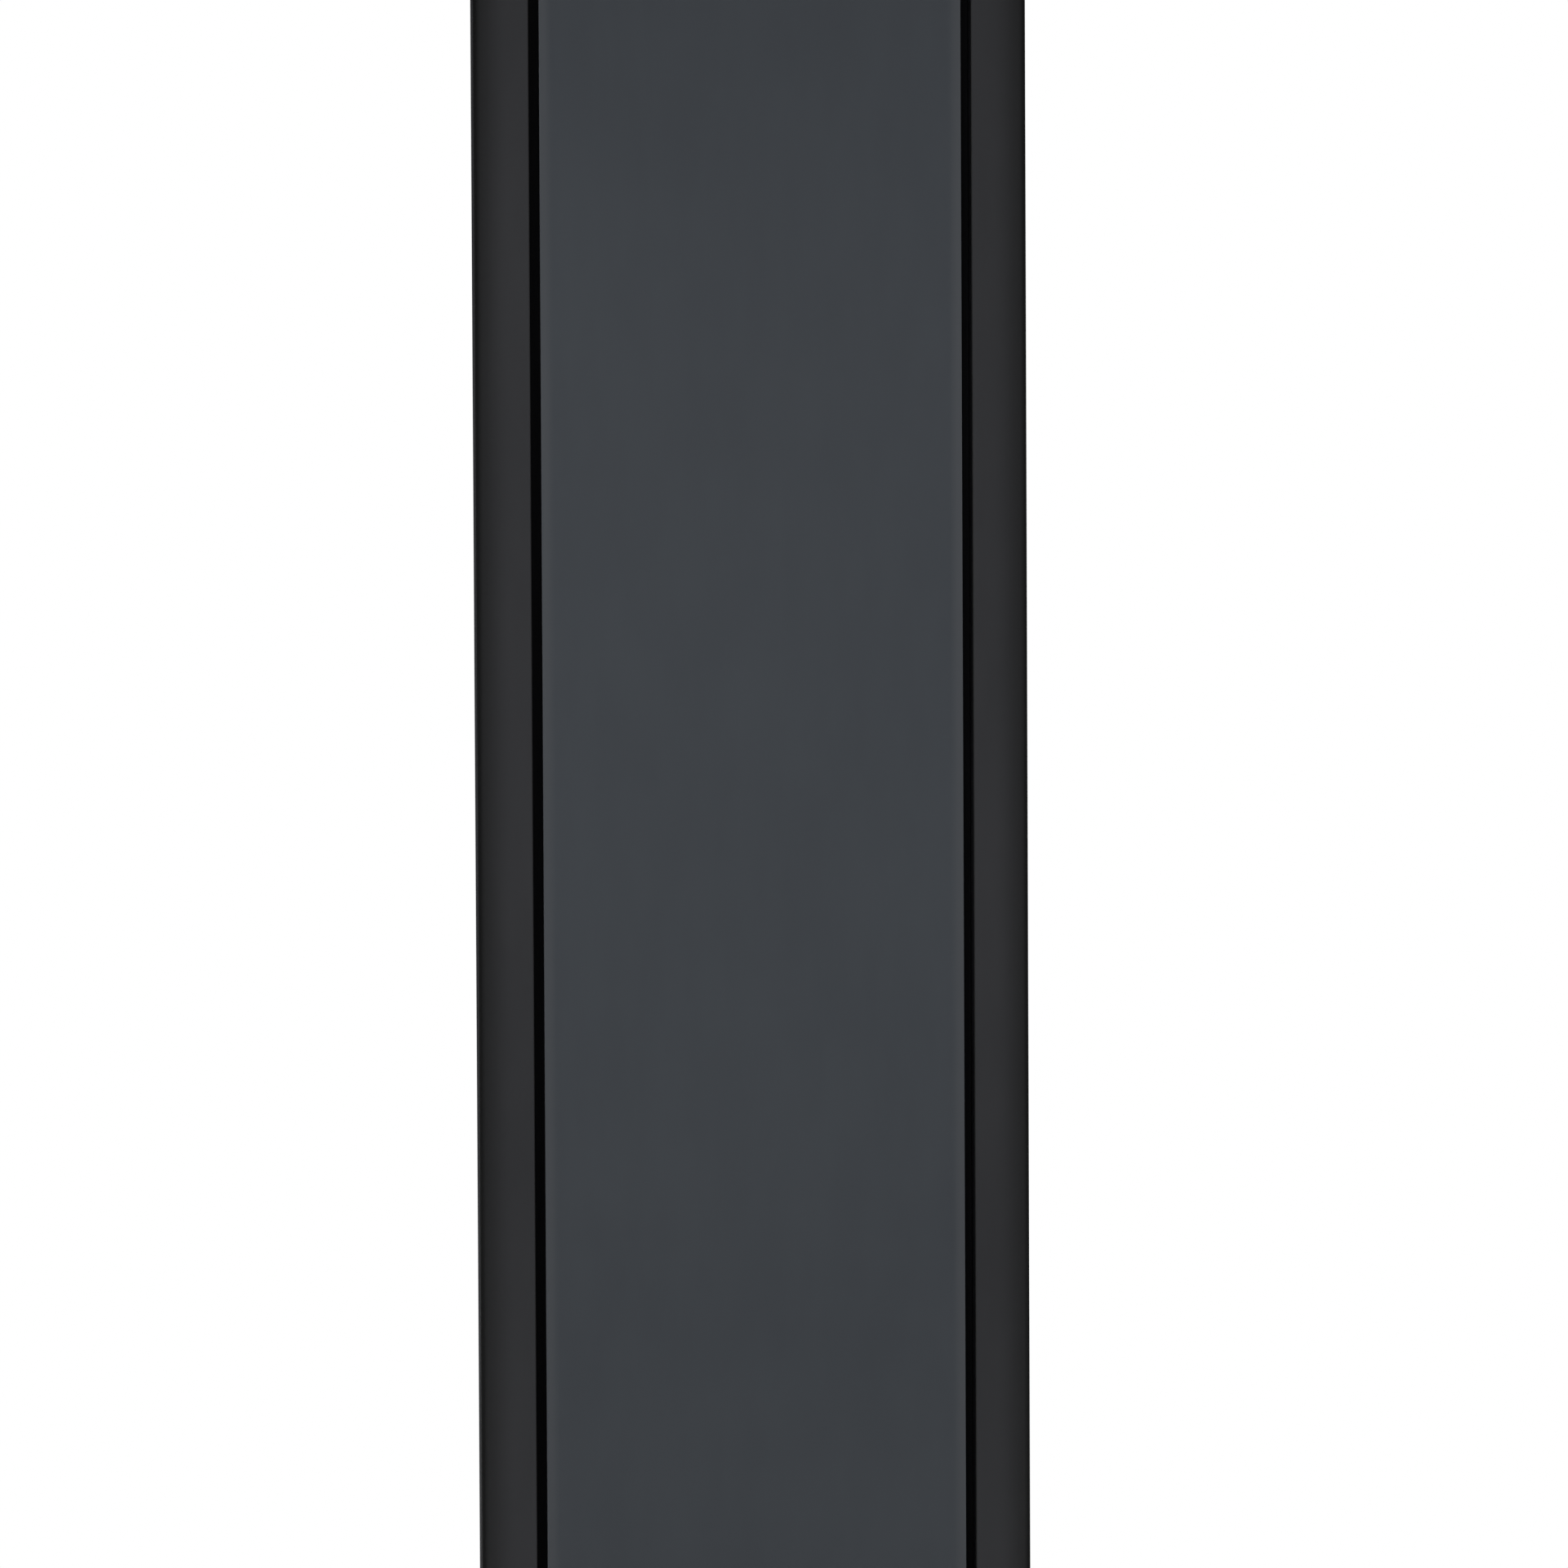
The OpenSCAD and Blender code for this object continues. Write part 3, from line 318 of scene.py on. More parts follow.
def lacquer(name, base, glow, rough, sheen_span, edge=None, painted_edge_shading=None, arris=None, face=None):
    """Sprayed satin lacquer: faint mottling, the fine dimpling of the spray gun, and eased edges painted
    lighter, partly as rubbing wear and partly as a painted highlight.

    The tone turns to the edge colour between the two distances from the clock's middle plane in edge:
    painted shade on the stiles, a painted highlight on the trunk door, and to near black in arris, a painted
    shade on the stiles' rounded outer edge. Both die out between the two depths in face."""
    coat = Shader(name)
    where = coat.place()
    cloud = coat.patches(where, 0.16, 3.0)
    grain = coat.patches(coat.place(stretch=(1, 1, 0.22)), 0.012, 4.0)
    dimple = coat.noise(where, 1.6 * MM, 1.0)
    dust = coat.noise(where, 0.5 * MM, 2.0, 0.7)
    tone = coat.blend(cloud * 0.7 + grain * 0.3, base, glow)
    # Eased edges are painted lighter than the face: partly rubbing wear, partly a painted highlight.
    rubbed = tuple(1.35 * part + 0.004 for part in glow)
    # Painted light and shade: the band between the edge distances takes the edge colour, darker on the
    # stiles for painted shade and lighter on the trunk door for a painted highlight.
    if edge:
        across = coat.along(where, "X")
        away = coat.node("ShaderNodeMath", {"operation": "ABSOLUTE"}, {0: across})
        share = coat.limit(away, *edge)
        if face:
            on_face = 1.0 - coat.limit(coat.along(where, "Y"), *face)
            share = share * on_face
        tone = coat.blend(share, tone, painted_edge_shading)
        rubbed = tuple(1.2 * part for part in painted_edge_shading)
    # Painted shade: the rounded outer arris of the stiles is painted near black.
    if arris:
        painted_arris_shade = coat.limit(away, *arris) * on_face
        tone = coat.blend(painted_arris_shade, tone, ARRIS_PAINTED_SHADE)
        rough = rough + painted_arris_shade * 0.4
    coat.set(Base_Color=coat.blend(coat.wear_and_highlight() * 0.75, tone, rubbed))
    coat.set(Roughness=rough + (cloud - 0.5) * sheen_span + (dust - 0.5) * 0.05)
    coat.set(Normal=coat.bump(dimple + dust * 0.3, 0.05 * MM, 0.35))
    coat.set(Specular_IOR_Level=0.34)
    return coat.material


def painted_shade_stile_lacquer(name, edge_x, front):
    """The charcoal lacquer as it lies on a stile, with painted shade: its face is painted darker towards the
    outer edge and near black on the rounded arris.
    """
    edge = (edge_x - 20 * MM, edge_x)
    arris = (edge_x - 4.5 * MM, edge_x - 0.8 * MM)
    face = (front + STILE_FALL + 1.0 * MM, front + STILE_FALL + 3.0 * MM)
    return lacquer(name, CHARCOAL_LOW, CHARCOAL_HIGH, 0.48, 0.05, edge, CHARCOAL_PAINTED_SHADE, arris, face)


def matt_stain(name, base):
    """Black stain rubbed into bare board, with the grain just showing."""
    coat = Shader(name)
    grain = coat.noise(coat.place(stretch=(1, 1, 0.08)), 2.5 * MM, 4.0, 0.6)
    coat.set(Base_Color=coat.blend(grain, base, tuple(1.8 * part for part in base)))
    coat.set(Roughness=0.82 + grain * 0.12, Specular_IOR_Level=0.12)
    coat.set(Normal=coat.bump(grain, 0.1 * MM, 0.5))
    return coat.material


def moulded_nylon(name):
    """Black moulded plastic with a spark-etched skin."""
    coat = Shader(name)
    skin = coat.noise(coat.place(), 0.7 * MM, 2.0, 0.6)
    scuff = coat.patches(coat.place(), 9 * MM, 3.0, 0.45, 0.75)
    coat.set(Base_Color=coat.blend(scuff, (0.012, 0.012, 0.013), (0.024, 0.024, 0.025)))
    coat.set(Roughness=0.48 + scuff * 0.2, Normal=coat.bump(skin, 0.06 * MM, 0.6))
    return coat.material


def clear_glass(name):
    """A thin pane: only its outer skin's reflection shows, stronger at a glance, with a trace of wiping."""
    coat = Shader(name)
    smear = coat.noise(coat.place(stretch=(0.4, 1, 1), turn=(0, radians(35), 0)), 0.05, 4.0)
    mirrored = coat.node("ShaderNodeFresnel", {}, {"IOR": 1.46})
    inner_skin = coat.node("ShaderNodeNewGeometry", {}, {}, "Backfacing")
    coat.set(Base_Color=coat.blend(smear, (0.93, 0.97, 0.96), (0.99, 1.0, 1.0)))
    coat.set(Metallic=1.0, Roughness=0.015 + coat.limit(smear, 0.5, 0.8) * 0.06)
    coat.set(Alpha=(1.0 - inner_skin) * (mirrored * 1.4 + 0.012))
    return coat.material


def dial_enamel(name):
    """Warm white satin enamel: a soft unevenness, a few faint specks and a hint of age at the rim."""
    coat = Shader(name)
    where = coat.place(tuple(dial_centre))
    cloud = coat.patches(where, 0.06, 3.0)
    speck = coat.patches(where, 0.6 * MM, 2.0, 0.72, 0.80)
    away = coat.length(where)
    age = coat.limit(away, 0.09, 0.20) * 0.5 + coat.patches(where, 0.02, 4.0, 0.5, 0.85) * 0.3
    tone = coat.blend(cloud, (0.70, 0.68, 0.625), (0.745, 0.725, 0.675))
    aged = coat.blend(age, tone, (0.62, 0.585, 0.50))
    coat.set(Base_Color=coat.blend(speck * 0.35, aged, (0.30, 0.27, 0.22)))
    coat.set(Roughness=0.33 + cloud * 0.06, Specular_IOR_Level=0.5)
    coat.set(Normal=coat.bump(coat.noise(where, 2.2 * MM, 2.0), 0.03 * MM, 0.3))
    return coat.material


def drawn_metal(name, base, dull, rough, stretch, deep=0.02 * MM, spots=0.0):
    """Metal with fine drawn or brushed lines along the axis that stretch names, and slight tarnish."""
    coat = Shader(name)
    lines = coat.noise(coat.place(stretch=stretch), 0.5 * MM, 3.0, 0.6)
    tarnish = coat.patches(coat.place(), 0.018, 4.0, 0.42, 0.78, 0.6)
    prints = coat.patches(coat.place(), 5 * MM, 2.0, 0.55, 0.8)
    tone = coat.blend(tarnish * (0.35 + spots), base, dull)
    # Eased edges are painted lighter: partly rubbing wear, partly a painted highlight.
    coat.set(Base_Color=coat.blend(coat.wear_and_highlight() * 0.5, tone, tuple(min(1, 1.15 * p) for p in base)))
    coat.set(Metallic=1.0)
    coat.set(Roughness=rough + (lines - 0.5) * 0.12 + tarnish * 0.10 + prints * 0.05)
    coat.set(Normal=coat.bump(lines, deep, 0.5))
    return coat.material


def turned_metal(name, base, dull, rough, centre, direction):
    """Polished metal with the fine rings that turning and buffing leave about its axis."""
    coat = Shader(name)
    where = coat.place(tuple(centre))
    settings = {"wave_type": "RINGS", "rings_direction": direction, "wave_profile": "SIN"}
    rings = coat.node("ShaderNodeTexWave", settings, {"Vector": where, "Scale": 420.0,
                                                      "Distortion": 1.2, "Detail": 2.0})
    cloud = coat.patches(where, 0.03, 4.0, 0.45, 0.8, 0.6)
    coat.set(Base_Color=coat.blend(cloud * 0.4, base, dull), Metallic=1.0)
    coat.set(Roughness=rough + rings * 0.04 + cloud * 0.10)
    coat.set(Normal=coat.bump(rings, 0.006 * MM, 0.5))
    return coat.material


def laid_cable(name):
    """Fine steel cable: the strands' lay shows as slanting grooves, and the grooves are painted darker as
    painted shade.
    """
    coat = Shader(name)
    settings = {"wave_type": "BANDS", "bands_direction": "DIAGONAL", "wave_profile": "SIN"}
    lay = coat.node("ShaderNodeTexWave", settings, {"Vector": coat.place(), "Scale": 260.0})
    # Painted shade: the grooves of the lay are painted darker than the strands' crowns.
    coat.set(Base_Color=coat.blend(lay, (0.16, 0.15, 0.14), (0.52, 0.50, 0.47)))
    coat.set(Metallic=0.9, Roughness=0.34 + lay * 0.12, Normal=coat.bump(lay, 0.15 * MM, 0.9))
    return coat.material


SLATE_LOW, SLATE_HIGH = (0.0355, 0.0400, 0.0465), (0.0400, 0.0452, 0.0520)
# Painted highlight: the lighter slate in a band along the trunk door's upright edges.
SLATE_PAINTED_HIGHLIGHT = (0.0495, 0.0535, 0.0595)
CHARCOAL_LOW, CHARCOAL_HIGH = (0.0200, 0.0202, 0.0222), (0.0240, 0.0242, 0.0264)
# Painted shade: the darker charcoal towards the stiles' outer edges.
CHARCOAL_PAINTED_SHADE = (0.0075, 0.0074, 0.0078)
# Painted shade: the near black of the stiles' rounded outer arris.
ARRIS_PAINTED_SHADE = (0.0006, 0.0006, 0.0007)
ACROSS_X = (0.03, 1, 1)
ALONG_Z = (1, 1, 0.03)
BRASS = (0.66, 0.46, 0.20)
BRASS_DULL = (0.42, 0.27, 0.11)
BLUED = (0.038, 0.060, 0.150)
BLUED_DULL = (0.030, 0.032, 0.055)
STEEL = (0.46, 0.455, 0.45)
STEEL_DULL = (0.27, 0.26, 0.25)
NICKEL = (0.60, 0.585, 0.56)
NICKEL_DULL = (0.38, 0.365, 0.34)
FINISHES = {
    "slate_lacquer": lacquer("slate_lacquer_coat", SLATE_LOW, SLATE_HIGH, 0.50, 0.05),
    "charcoal_lacquer": lacquer("charcoal_lacquer_coat", CHARCOAL_LOW, CHARCOAL_HIGH, 0.48, 0.06),
    "black_stain": matt_stain("black_stain_coat", (0.0035, 0.0035, 0.004)),
    "black_nylon": moulded_nylon("black_nylon_skin"),
    "clear_glass": clear_glass("clear_glass_pane"),
    "dial_enamel": dial_enamel("dial_enamel_coat"),
    "satin_nickel": drawn_metal("satin_nickel_plate", NICKEL, NICKEL_DULL, 0.27, ACROSS_X),
    "blued_steel": drawn_metal("blued_steel_skin", BLUED, BLUED_DULL, 0.26, ALONG_Z),
    "bright_steel": drawn_metal("bright_steel_skin", STEEL, STEEL_DULL, 0.28, ALONG_Z),
    "clock_brass": drawn_metal("clock_brass_plate", BRASS, BRASS_DULL, 0.27, ACROSS_X),
    "polished_brass": drawn_metal("polished_brass_shell", (0.72, 0.50, 0.21), BRASS_DULL, 0.13, ACROSS_X,
                                  deep=0.004 * MM),
    "bell_metal": drawn_metal("bell_metal_cast", (0.62, 0.50, 0.31), (0.36, 0.27, 0.15), 0.24, ACROSS_X,
                              deep=0.008 * MM, spots=0.2),
    "steel_cable": laid_cable("steel_cable_lay"),
}


# ---- Mesh helpers ---------------------------------------------------------------------------

def middle_of(node):
    """The middle of a node's box."""
    low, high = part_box(node)
    return (low + high) / 2


def start_mesh():
    """An empty mesh that remembers which faces are eased edges."""
    bm = bmesh.new()
    bm.faces.layers.float.new("wear_and_highlight")
    return bm


def edges_of(verts):
    return list({edge for vert in verts for edge in vert.link_edges})


def faces_of(verts):
    return list({face for vert in verts for face in vert.link_faces})


def fresh(bm, before):
    """The corners made since before was taken."""
    return [vert for vert in bm.verts if vert not in before]


def corners_in(grown):
    """The corners among the parts that an operator made."""
    return [part for part in grown if isinstance(part, bmesh.types.BMVert)]


def mm_points(*points):
    """Points given in millimetres."""
    return [(across * MM, along * MM) for across, along in points]


def quarter(steps):
    """The rise, and the distance out, at each step of a quarter turn of radius 1."""
    angles = [pi / 2 * k / steps for k in range(steps + 1)]
    return [(sin(angle), 1 - cos(angle)) for angle in angles]


def ease(bm, edges, radius, rounds=2):
    """Rounds edges over and marks the new faces as eased edges, which the finishes paint lighter: partly
    rubbing wear, partly a painted highlight.
    """
    made = bmesh.ops.bevel(bm, geom=edges, offset=radius, offset_type="OFFSET", segments=rounds,
                           profile=0.5, affect="EDGES", material=-1, clamp_overlap=True)
    layer = bm.faces.layers.float["wear_and_highlight"]
    for face in made["faces"]:
        face[layer] = 1.0


def ease_sharp(bm, verts, radius, rounds=2, least=50):
    """Eases the edges where two faces meet at more than the least angle, in degrees."""
    bmesh.ops.recalc_face_normals(bm, faces=faces_of(verts))
    sharp = [edge for edge in edges_of(verts)
             if len(edge.link_faces) == 2 and edge.calc_face_angle(0) > radians(least)]
    ease(bm, sharp, radius, rounds)


def cut(bm, before, at, towards, clear=False):
    """Cuts all that was made since before was taken; clear drops what lies beyond the cut."""
    corners = fresh(bm, before)
    bmesh.ops.bisect_plane(bm, geom=corners + edges_of(corners) + faces_of(corners), plane_co=at,
                           plane_no=towards, dist=LEAST, clear_outer=clear)


def close_mesh(bm, name, slot, crisp, coat=None):
    """Turns the mesh into an object with its finish, smooth but for edges sharper than crisp."""
    bmesh.ops.recalc_face_normals(bm, faces=bm.faces)
    mesh = bpy.data.meshes.new(name)
    bm.to_mesh(mesh)
    bm.free()
    mesh.shade_smooth()
    mesh.set_sharp_from_angle(angle=radians(crisp))
    mesh.materials.append(coat or FINISHES[slot])
    piece = add_object(name, mesh)
    return piece


def finish_piece(bm, name, slot, body, stands_for=(), crisp=32, coat=None):
    """Makes the mesh a piece that rides on a body, in place of the nodes that it stands for."""
    piece = close_mesh(bm, name, slot, crisp, coat)
    flats = piece.modifiers.new("even_flats", "WEIGHTED_NORMAL")
    flats.keep_sharp = True
    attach(piece, body)
    if stands_for:
        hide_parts(*stands_for)


def add_board(bm, low, high, radius=BOARD_EASE, rounds=2):
    """A board between two corners, its edges eased."""
    low, high = Vector(low), Vector(high)
    made = bmesh.ops.create_cube(bm, size=1.0)["verts"]
    bmesh.ops.scale(bm, vec=high - low, verts=made)
    bmesh.ops.translate(bm, vec=(low + high) / 2, verts=made)
    ease(bm, edges_of(made), radius, rounds)


def board_piece(name, slot, body, low, high, node, radius=BOARD_EASE, rounds=2):
    """One board as a piece of its own."""
    bm = start_mesh()
    add_board(bm, low, high, radius, rounds)
    finish_piece(bm, name, slot, body, [node])


def upright(at):
    return Matrix.Translation(Vector(at))


def facing(at):
    """Puts local Z towards the front, and local Y up."""
    return Matrix.Translation(Vector(at)) @ Matrix.Rotation(pi / 2, 4, "X")


def sideways(at, side):
    """Puts local Z outwards to one side, and local X to the back."""
    turn = Matrix(((0, 0, side, 0), (1, 0, 0, 0), (0, 1, 0, 0), (0, 0, 0, 1)))
    return Matrix.Translation(Vector(at)) @ turn


def add_turned(bm, outline, place, steps, closed=False):
    """A turned solid: outline is (radius, height) points. A closed one makes a ring."""
    before = set(bm.verts)
    corners = [bm.verts.new((radius, 0, height)) for radius, height in outline]
    ends = corners[1:] + corners[:1] if closed else corners[1:]
    edges = [bm.edges.new(pair) for pair in zip(corners, ends)]
    bmesh.ops.spin(bm, geom=corners + edges, cent=(0, 0, 0), axis=(0, 0, 1), angle=tau,
                   steps=steps, use_merge=True, use_duplicate=False)
    bmesh.ops.remove_doubles(bm, verts=fresh(bm, before), dist=LEAST)
    made = fresh(bm, before)
    bmesh.ops.transform(bm, matrix=place, verts=made)
    return made


def turned_piece(name, slot, body, outline, place, steps, stands_for=(), closed=False, crisp=32, coat=None):
    """One turned solid as a piece of its own."""
    bm = start_mesh()
    add_turned(bm, outline, place, steps, closed)
    finish_piece(bm, name, slot, body, stands_for, crisp, coat)


def add_flat(bm, outlines, thick, place, radius=0.0, rounds=1):
    """A flat plate cut to its outlines, the first outside and the rest holes."""
    before = set(bm.verts)
    edges = []
    for outline in outlines:
        corners = [bm.verts.new((x, y, 0)) for x, y in outline]
        edges += [bm.edges.new(pair) for pair in zip(corners, corners[1:] + corners[:1])]
    made = bmesh.ops.triangle_fill(bm, edges=edges, use_beauty=True, use_dissolve=False)["geom"]
    flats = [part for part in made if isinstance(part, bmesh.types.BMFace)]
    grown = bmesh.ops.extrude_face_region(bm, geom=flats)["geom"]
    bmesh.ops.translate(bm, vec=(0, 0, thick), verts=corners_in(grown))
    made = fresh(bm, before)
    bmesh.ops.transform(bm, matrix=place, verts=made)
    if radius:
        ease_sharp(bm, made, radius, rounds, 60)
    return made


def flat_piece(name, slot, body, outlines, thick, place, radius, rounds=1, stands_for=()):
    """One flat plate as a piece of its own."""
    bm = start_mesh()
    add_flat(bm, outlines, thick, place, radius, rounds)
    finish_piece(bm, name, slot, body, stands_for)


def circle(radius, steps, at=(0, 0)):
    """The corners of a round outline."""
    return [(at[0] + radius * cos(tau * k / steps), at[1] + radius * sin(tau * k / steps))
            for k in range(steps)]


def rectangle(left, right, low, high):
    return [(left, low), (right, low), (right, high), (left, high)]


def add_mitred(bm, levels, place, whole=True):
    """A moulding mitred round a rectangle. A level is (height, left, right, near, far).

    Levels go once round the section. One that isn't whole is open on its far side, and its two
    ends are closed flat."""
    before = set(bm.verts)
    height, left, right, near, far = levels[0]
    spots = [(left, far), (left, near), (right, near), (right, far)]
    corners = [bm.verts.new((x, y, height)) for x, y in spots]
    pairs = list(zip(corners, corners[1:] + corners[:1]))
    edges = [bm.edges.new(pair) for pair in (pairs if whole else pairs[:3])]
    for old, new in zip(levels, levels[1:] + levels[:1]):
        grown = bmesh.ops.extrude_edge_only(bm, edges=edges)["geom"]
        moved = corners_in(grown)
        edges = [part for part in grown if isinstance(part, bmesh.types.BMEdge)
                 and all(vert in moved for vert in part.verts)]
        wide = (new[2] - new[1]) / (old[2] - old[1])
        deep = (new[4] - new[3]) / (old[4] - old[3])
        shift = (new[1] - wide * old[1], new[3] - deep * old[3], new[0] - old[0])
        matrix = Matrix.Translation(shift) @ Matrix.Diagonal((wide, deep, 1, 1))
        bmesh.ops.transform(bm, matrix=matrix, verts=moved)
    bmesh.ops.remove_doubles(bm, verts=fresh(bm, before), dist=LEAST)
    made = fresh(bm, before)
    open_edges = [edge for edge in edges_of(made) if edge.is_boundary]
    if open_edges:
        bmesh.ops.holes_fill(bm, edges=open_edges, sides=0)
    bmesh.ops.transform(bm, matrix=place, verts=made)
    return made


def mitred_piece(name, slot, body, node, levels, radius, place=Matrix.Identity(4), least=40, whole=True):
    """One mitred moulding as a piece of its own, its sharp edges eased."""
    bm = start_mesh()
    made = add_mitred(bm, levels, place, whole)
    ease_sharp(bm, made, radius, 2, least)
    finish_piece(bm, name, slot, body, [node])


def refine(node, radius=0.0, rounds=1, crisp=32, coat=None):
    """The node's own shape with its triangles joined and its sharp edges eased."""
    bm = start_mesh()
    bm.from_mesh(nodes[node].data)
    bmesh.ops.remove_doubles(bm, verts=bm.verts, dist=LEAST)
    bmesh.ops.dissolve_limit(bm, angle_limit=radians(0.4), verts=bm.verts, edges=bm.edges)
    if radius:
        sharp = [edge for edge in bm.edges
                 if len(edge.link_faces) == 2 and edge.calc_face_angle(0) > radians(50)]
        ease(bm, sharp, radius, rounds)
    finish_piece(bm, node + "_finished", SLOT_OF[node], nodes[node]["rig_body"], [node], crisp, coat)


def screw_head(bm, place, radius, proud, dished=False):
    """A slotted screw head: a low dome with a straight slot sawn across it."""
    before = set(bm.verts)
    slot_half = radius * 0.13
    slot_deep = proud * 0.55
    steps = 24
    top = [(radius, 0), (radius, proud * 0.6), (radius * 0.86, proud * 0.9), (0, proud)]
    if dished:
        top = [(radius, 0), (radius, proud), (0, proud)]
    add_turned(bm, [(0, -proud)] + [(radius, -proud)] + top, upright((0, 0, 0)), steps)
    for offset in (-slot_half, slot_half):
        cut(bm, before, (offset, 0, 0), (1, 0, 0))
    sunk = {vert for vert in fresh(bm, before)
            if abs(vert.co.x) <= slot_half + LEAST and vert.co.z > proud * 0.5}
    faces = [face for face in faces_of(sunk) if sunk.issuperset(face.verts)]
    grown = bmesh.ops.extrude_face_region(bm, geom=faces)["geom"]
    bmesh.ops.translate(bm, vec=(0, 0, -slot_deep), verts=corners_in(grown))
    bmesh.ops.transform(bm, matrix=place, verts=fresh(bm, before))


# ---- Case -----------------------------------------------------------------------------------

def add_stile(bm, side, edge_x, front, inner, low, high):
    """An upright whose face is crowned: it falls back towards its rounded outer edge."""
    crown = (STILE * STILE + STILE_FALL * STILE_FALL) / (2 * STILE_FALL)
    nose, steps = 3 * MM, 10
    flat_nose = nose * 0.7
    section = []
    for k in range(steps + 1):
        across = (STILE - flat_nose) * k / steps
        section.append((edge_x - STILE + across, front + crown - sqrt(crown * crown - across * across)))
    start = section[-1][1]
    section += [(edge_x - flat_nose * (1 - up), start + nose * out) for up, out in quarter(5)[1:]]
    section += [(edge_x, inner), (edge_x - STILE, inner)]
    before = set(bm.verts)
    corners = [bm.verts.new((side * x, y, low)) for x, y in section]
    grown = bmesh.ops.extrude_face_region(bm, geom=[bm.faces.new(corners)])["geom"]
    bmesh.ops.translate(bm, vec=(0, 0, high - low), verts=corners_in(grown))
    ease_sharp(bm, fresh(bm, before), 0.6 * MM, 2, 60)


def stile_pair(name, body, node, edge_x, front, inner, low, high):
    """Two crowned stiles, with painted shade darkening them towards their outer edges."""
    coat = painted_shade_stile_lacquer(name + "_stile_painted_shade_coat", edge_x, front)
    for side, word in SIDES:
        bm = start_mesh()
        add_stile(bm, side, edge_x, front, inner, low, high)
        finish_piece(bm, f"{name}_stile_{word}", "charcoal_lacquer", body, [node], 32, coat)


def face_frame(name, body, node, edge_x, front, inner, low, high, rail):
    """Two crowned stiles with a rail between them at each end."""
    stile_pair(name, body, node, edge_x, front, inner, low, high)
    rail_x = edge_x - STILE
    bm = start_mesh()
    add_board(bm, (-rail_x, front, low), (rail_x, inner, low + rail), 0.6 * MM)
    add_board(bm, (-rail_x, front, high - rail), (rail_x, inner, high), 0.6 * MM)
    finish_piece(bm, name + "_rails", "charcoal_lacquer", body, [node])


def cove_levels(start, end, steps=18):
    """A hollow quarter curve between two (height, half width, front) levels."""
    return [(start[0] + (end[0] - start[0]) * up, start[1] + (end[1] - start[1]) * out,
             start[2] + (end[2] - start[2]) * out) for up, out in quarter(steps)]


def around(levels, back):
    """Levels of (height, half width, front) as full ones with a shared back."""
    return [(height, -half, half, near, back) for height, half, near in levels]


def glides():
    """Four moulded glides, each with a flared skirt, a dished sole and a rounded rim."""
    low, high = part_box("glide_feet")
    top, radius = plinth_low.z, 20 * MM
    fronts = (low.y + radius, high.y - radius)
    outline = mm_points((0, 1.2), (12, 1.2), (14, 0.3), (15.6, 0), (16.8, 0.8), (17.3, 2.4), (18.6, 7),
                        (18.6, 8), (19.4, 9)) + [(radius, top), (0, top)]
    for index, (side, y) in enumerate((side, front) for side in (-1, 1) for front in fronts):
        turned_piece(f"glide_foot_{index + 1}", "black_nylon", "case", outline,
                     upright((side * (high.x - radius), y, 0)), 56, ["glide_feet"])


def plinth_frame():
    """The plinth: a box frame with a chamfered top and a fine quirk under the chamfer."""
    half, near, back = plinth_high.x, plinth_low.y, plinth_high.y
    top, low = plinth_high.z, plinth_low.z
    chamfer, quirk, land, groove = 6 * MM, 1.2 * MM, 4 * MM, 1 * MM
    lip = top - chamfer
    outer = [(low, half, near), (lip - land - groove, half, near),
             (lip - land - groove, half - quirk, near + quirk),
             (lip - land, half - quirk, near + quirk),
             (lip - land, half, near), (lip, half, near), (top, half - chamfer, near + chamfer)]
    half_open, open_front, open_back = 196 * MM, -130 * MM, 134 * MM
    opening = (-half_open, half_open, open_front, open_back)
    levels = around(outer, back) + [(top, *opening), (low, *opening)]
    mitred_piece("plinth_box_frame", "charcoal_lacquer", "case", "plinth", levels, 0.35 * MM)


def base_case():
    """Sides, floor, face frame, panel and the dark board behind the panel's gap."""
    low, high = box_low.z, box_high.z
    side_in = BOX_X - BOARD
    for side, word in SIDES:
        ends = sorted((side * side_in, side * BOX_X))
        board_piece(f"base_side_{word}", "charcoal_lacquer", "case", (ends[0], BOX_INNER, low),
                    (ends[1], BACK_INNER, high), "base_carcass")
    board_piece("base_floor_board", "charcoal_lacquer", "case", (-side_in, BOX_INNER + 8 * MM, low),
                (side_in, BACK_INNER, low + BOARD), "base_carcass")
    face_frame("base_frame", "case", "base_face_frame", BOX_X, BOX_FRONT, BOX_INNER, low, high, STILE)
    board_piece("base_flush_panel", "slate_lacquer", "case", *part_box("base_panel"), "base_panel",
                1.4 * MM, 3)
    refine("base_subpanel", 0.5 * MM)


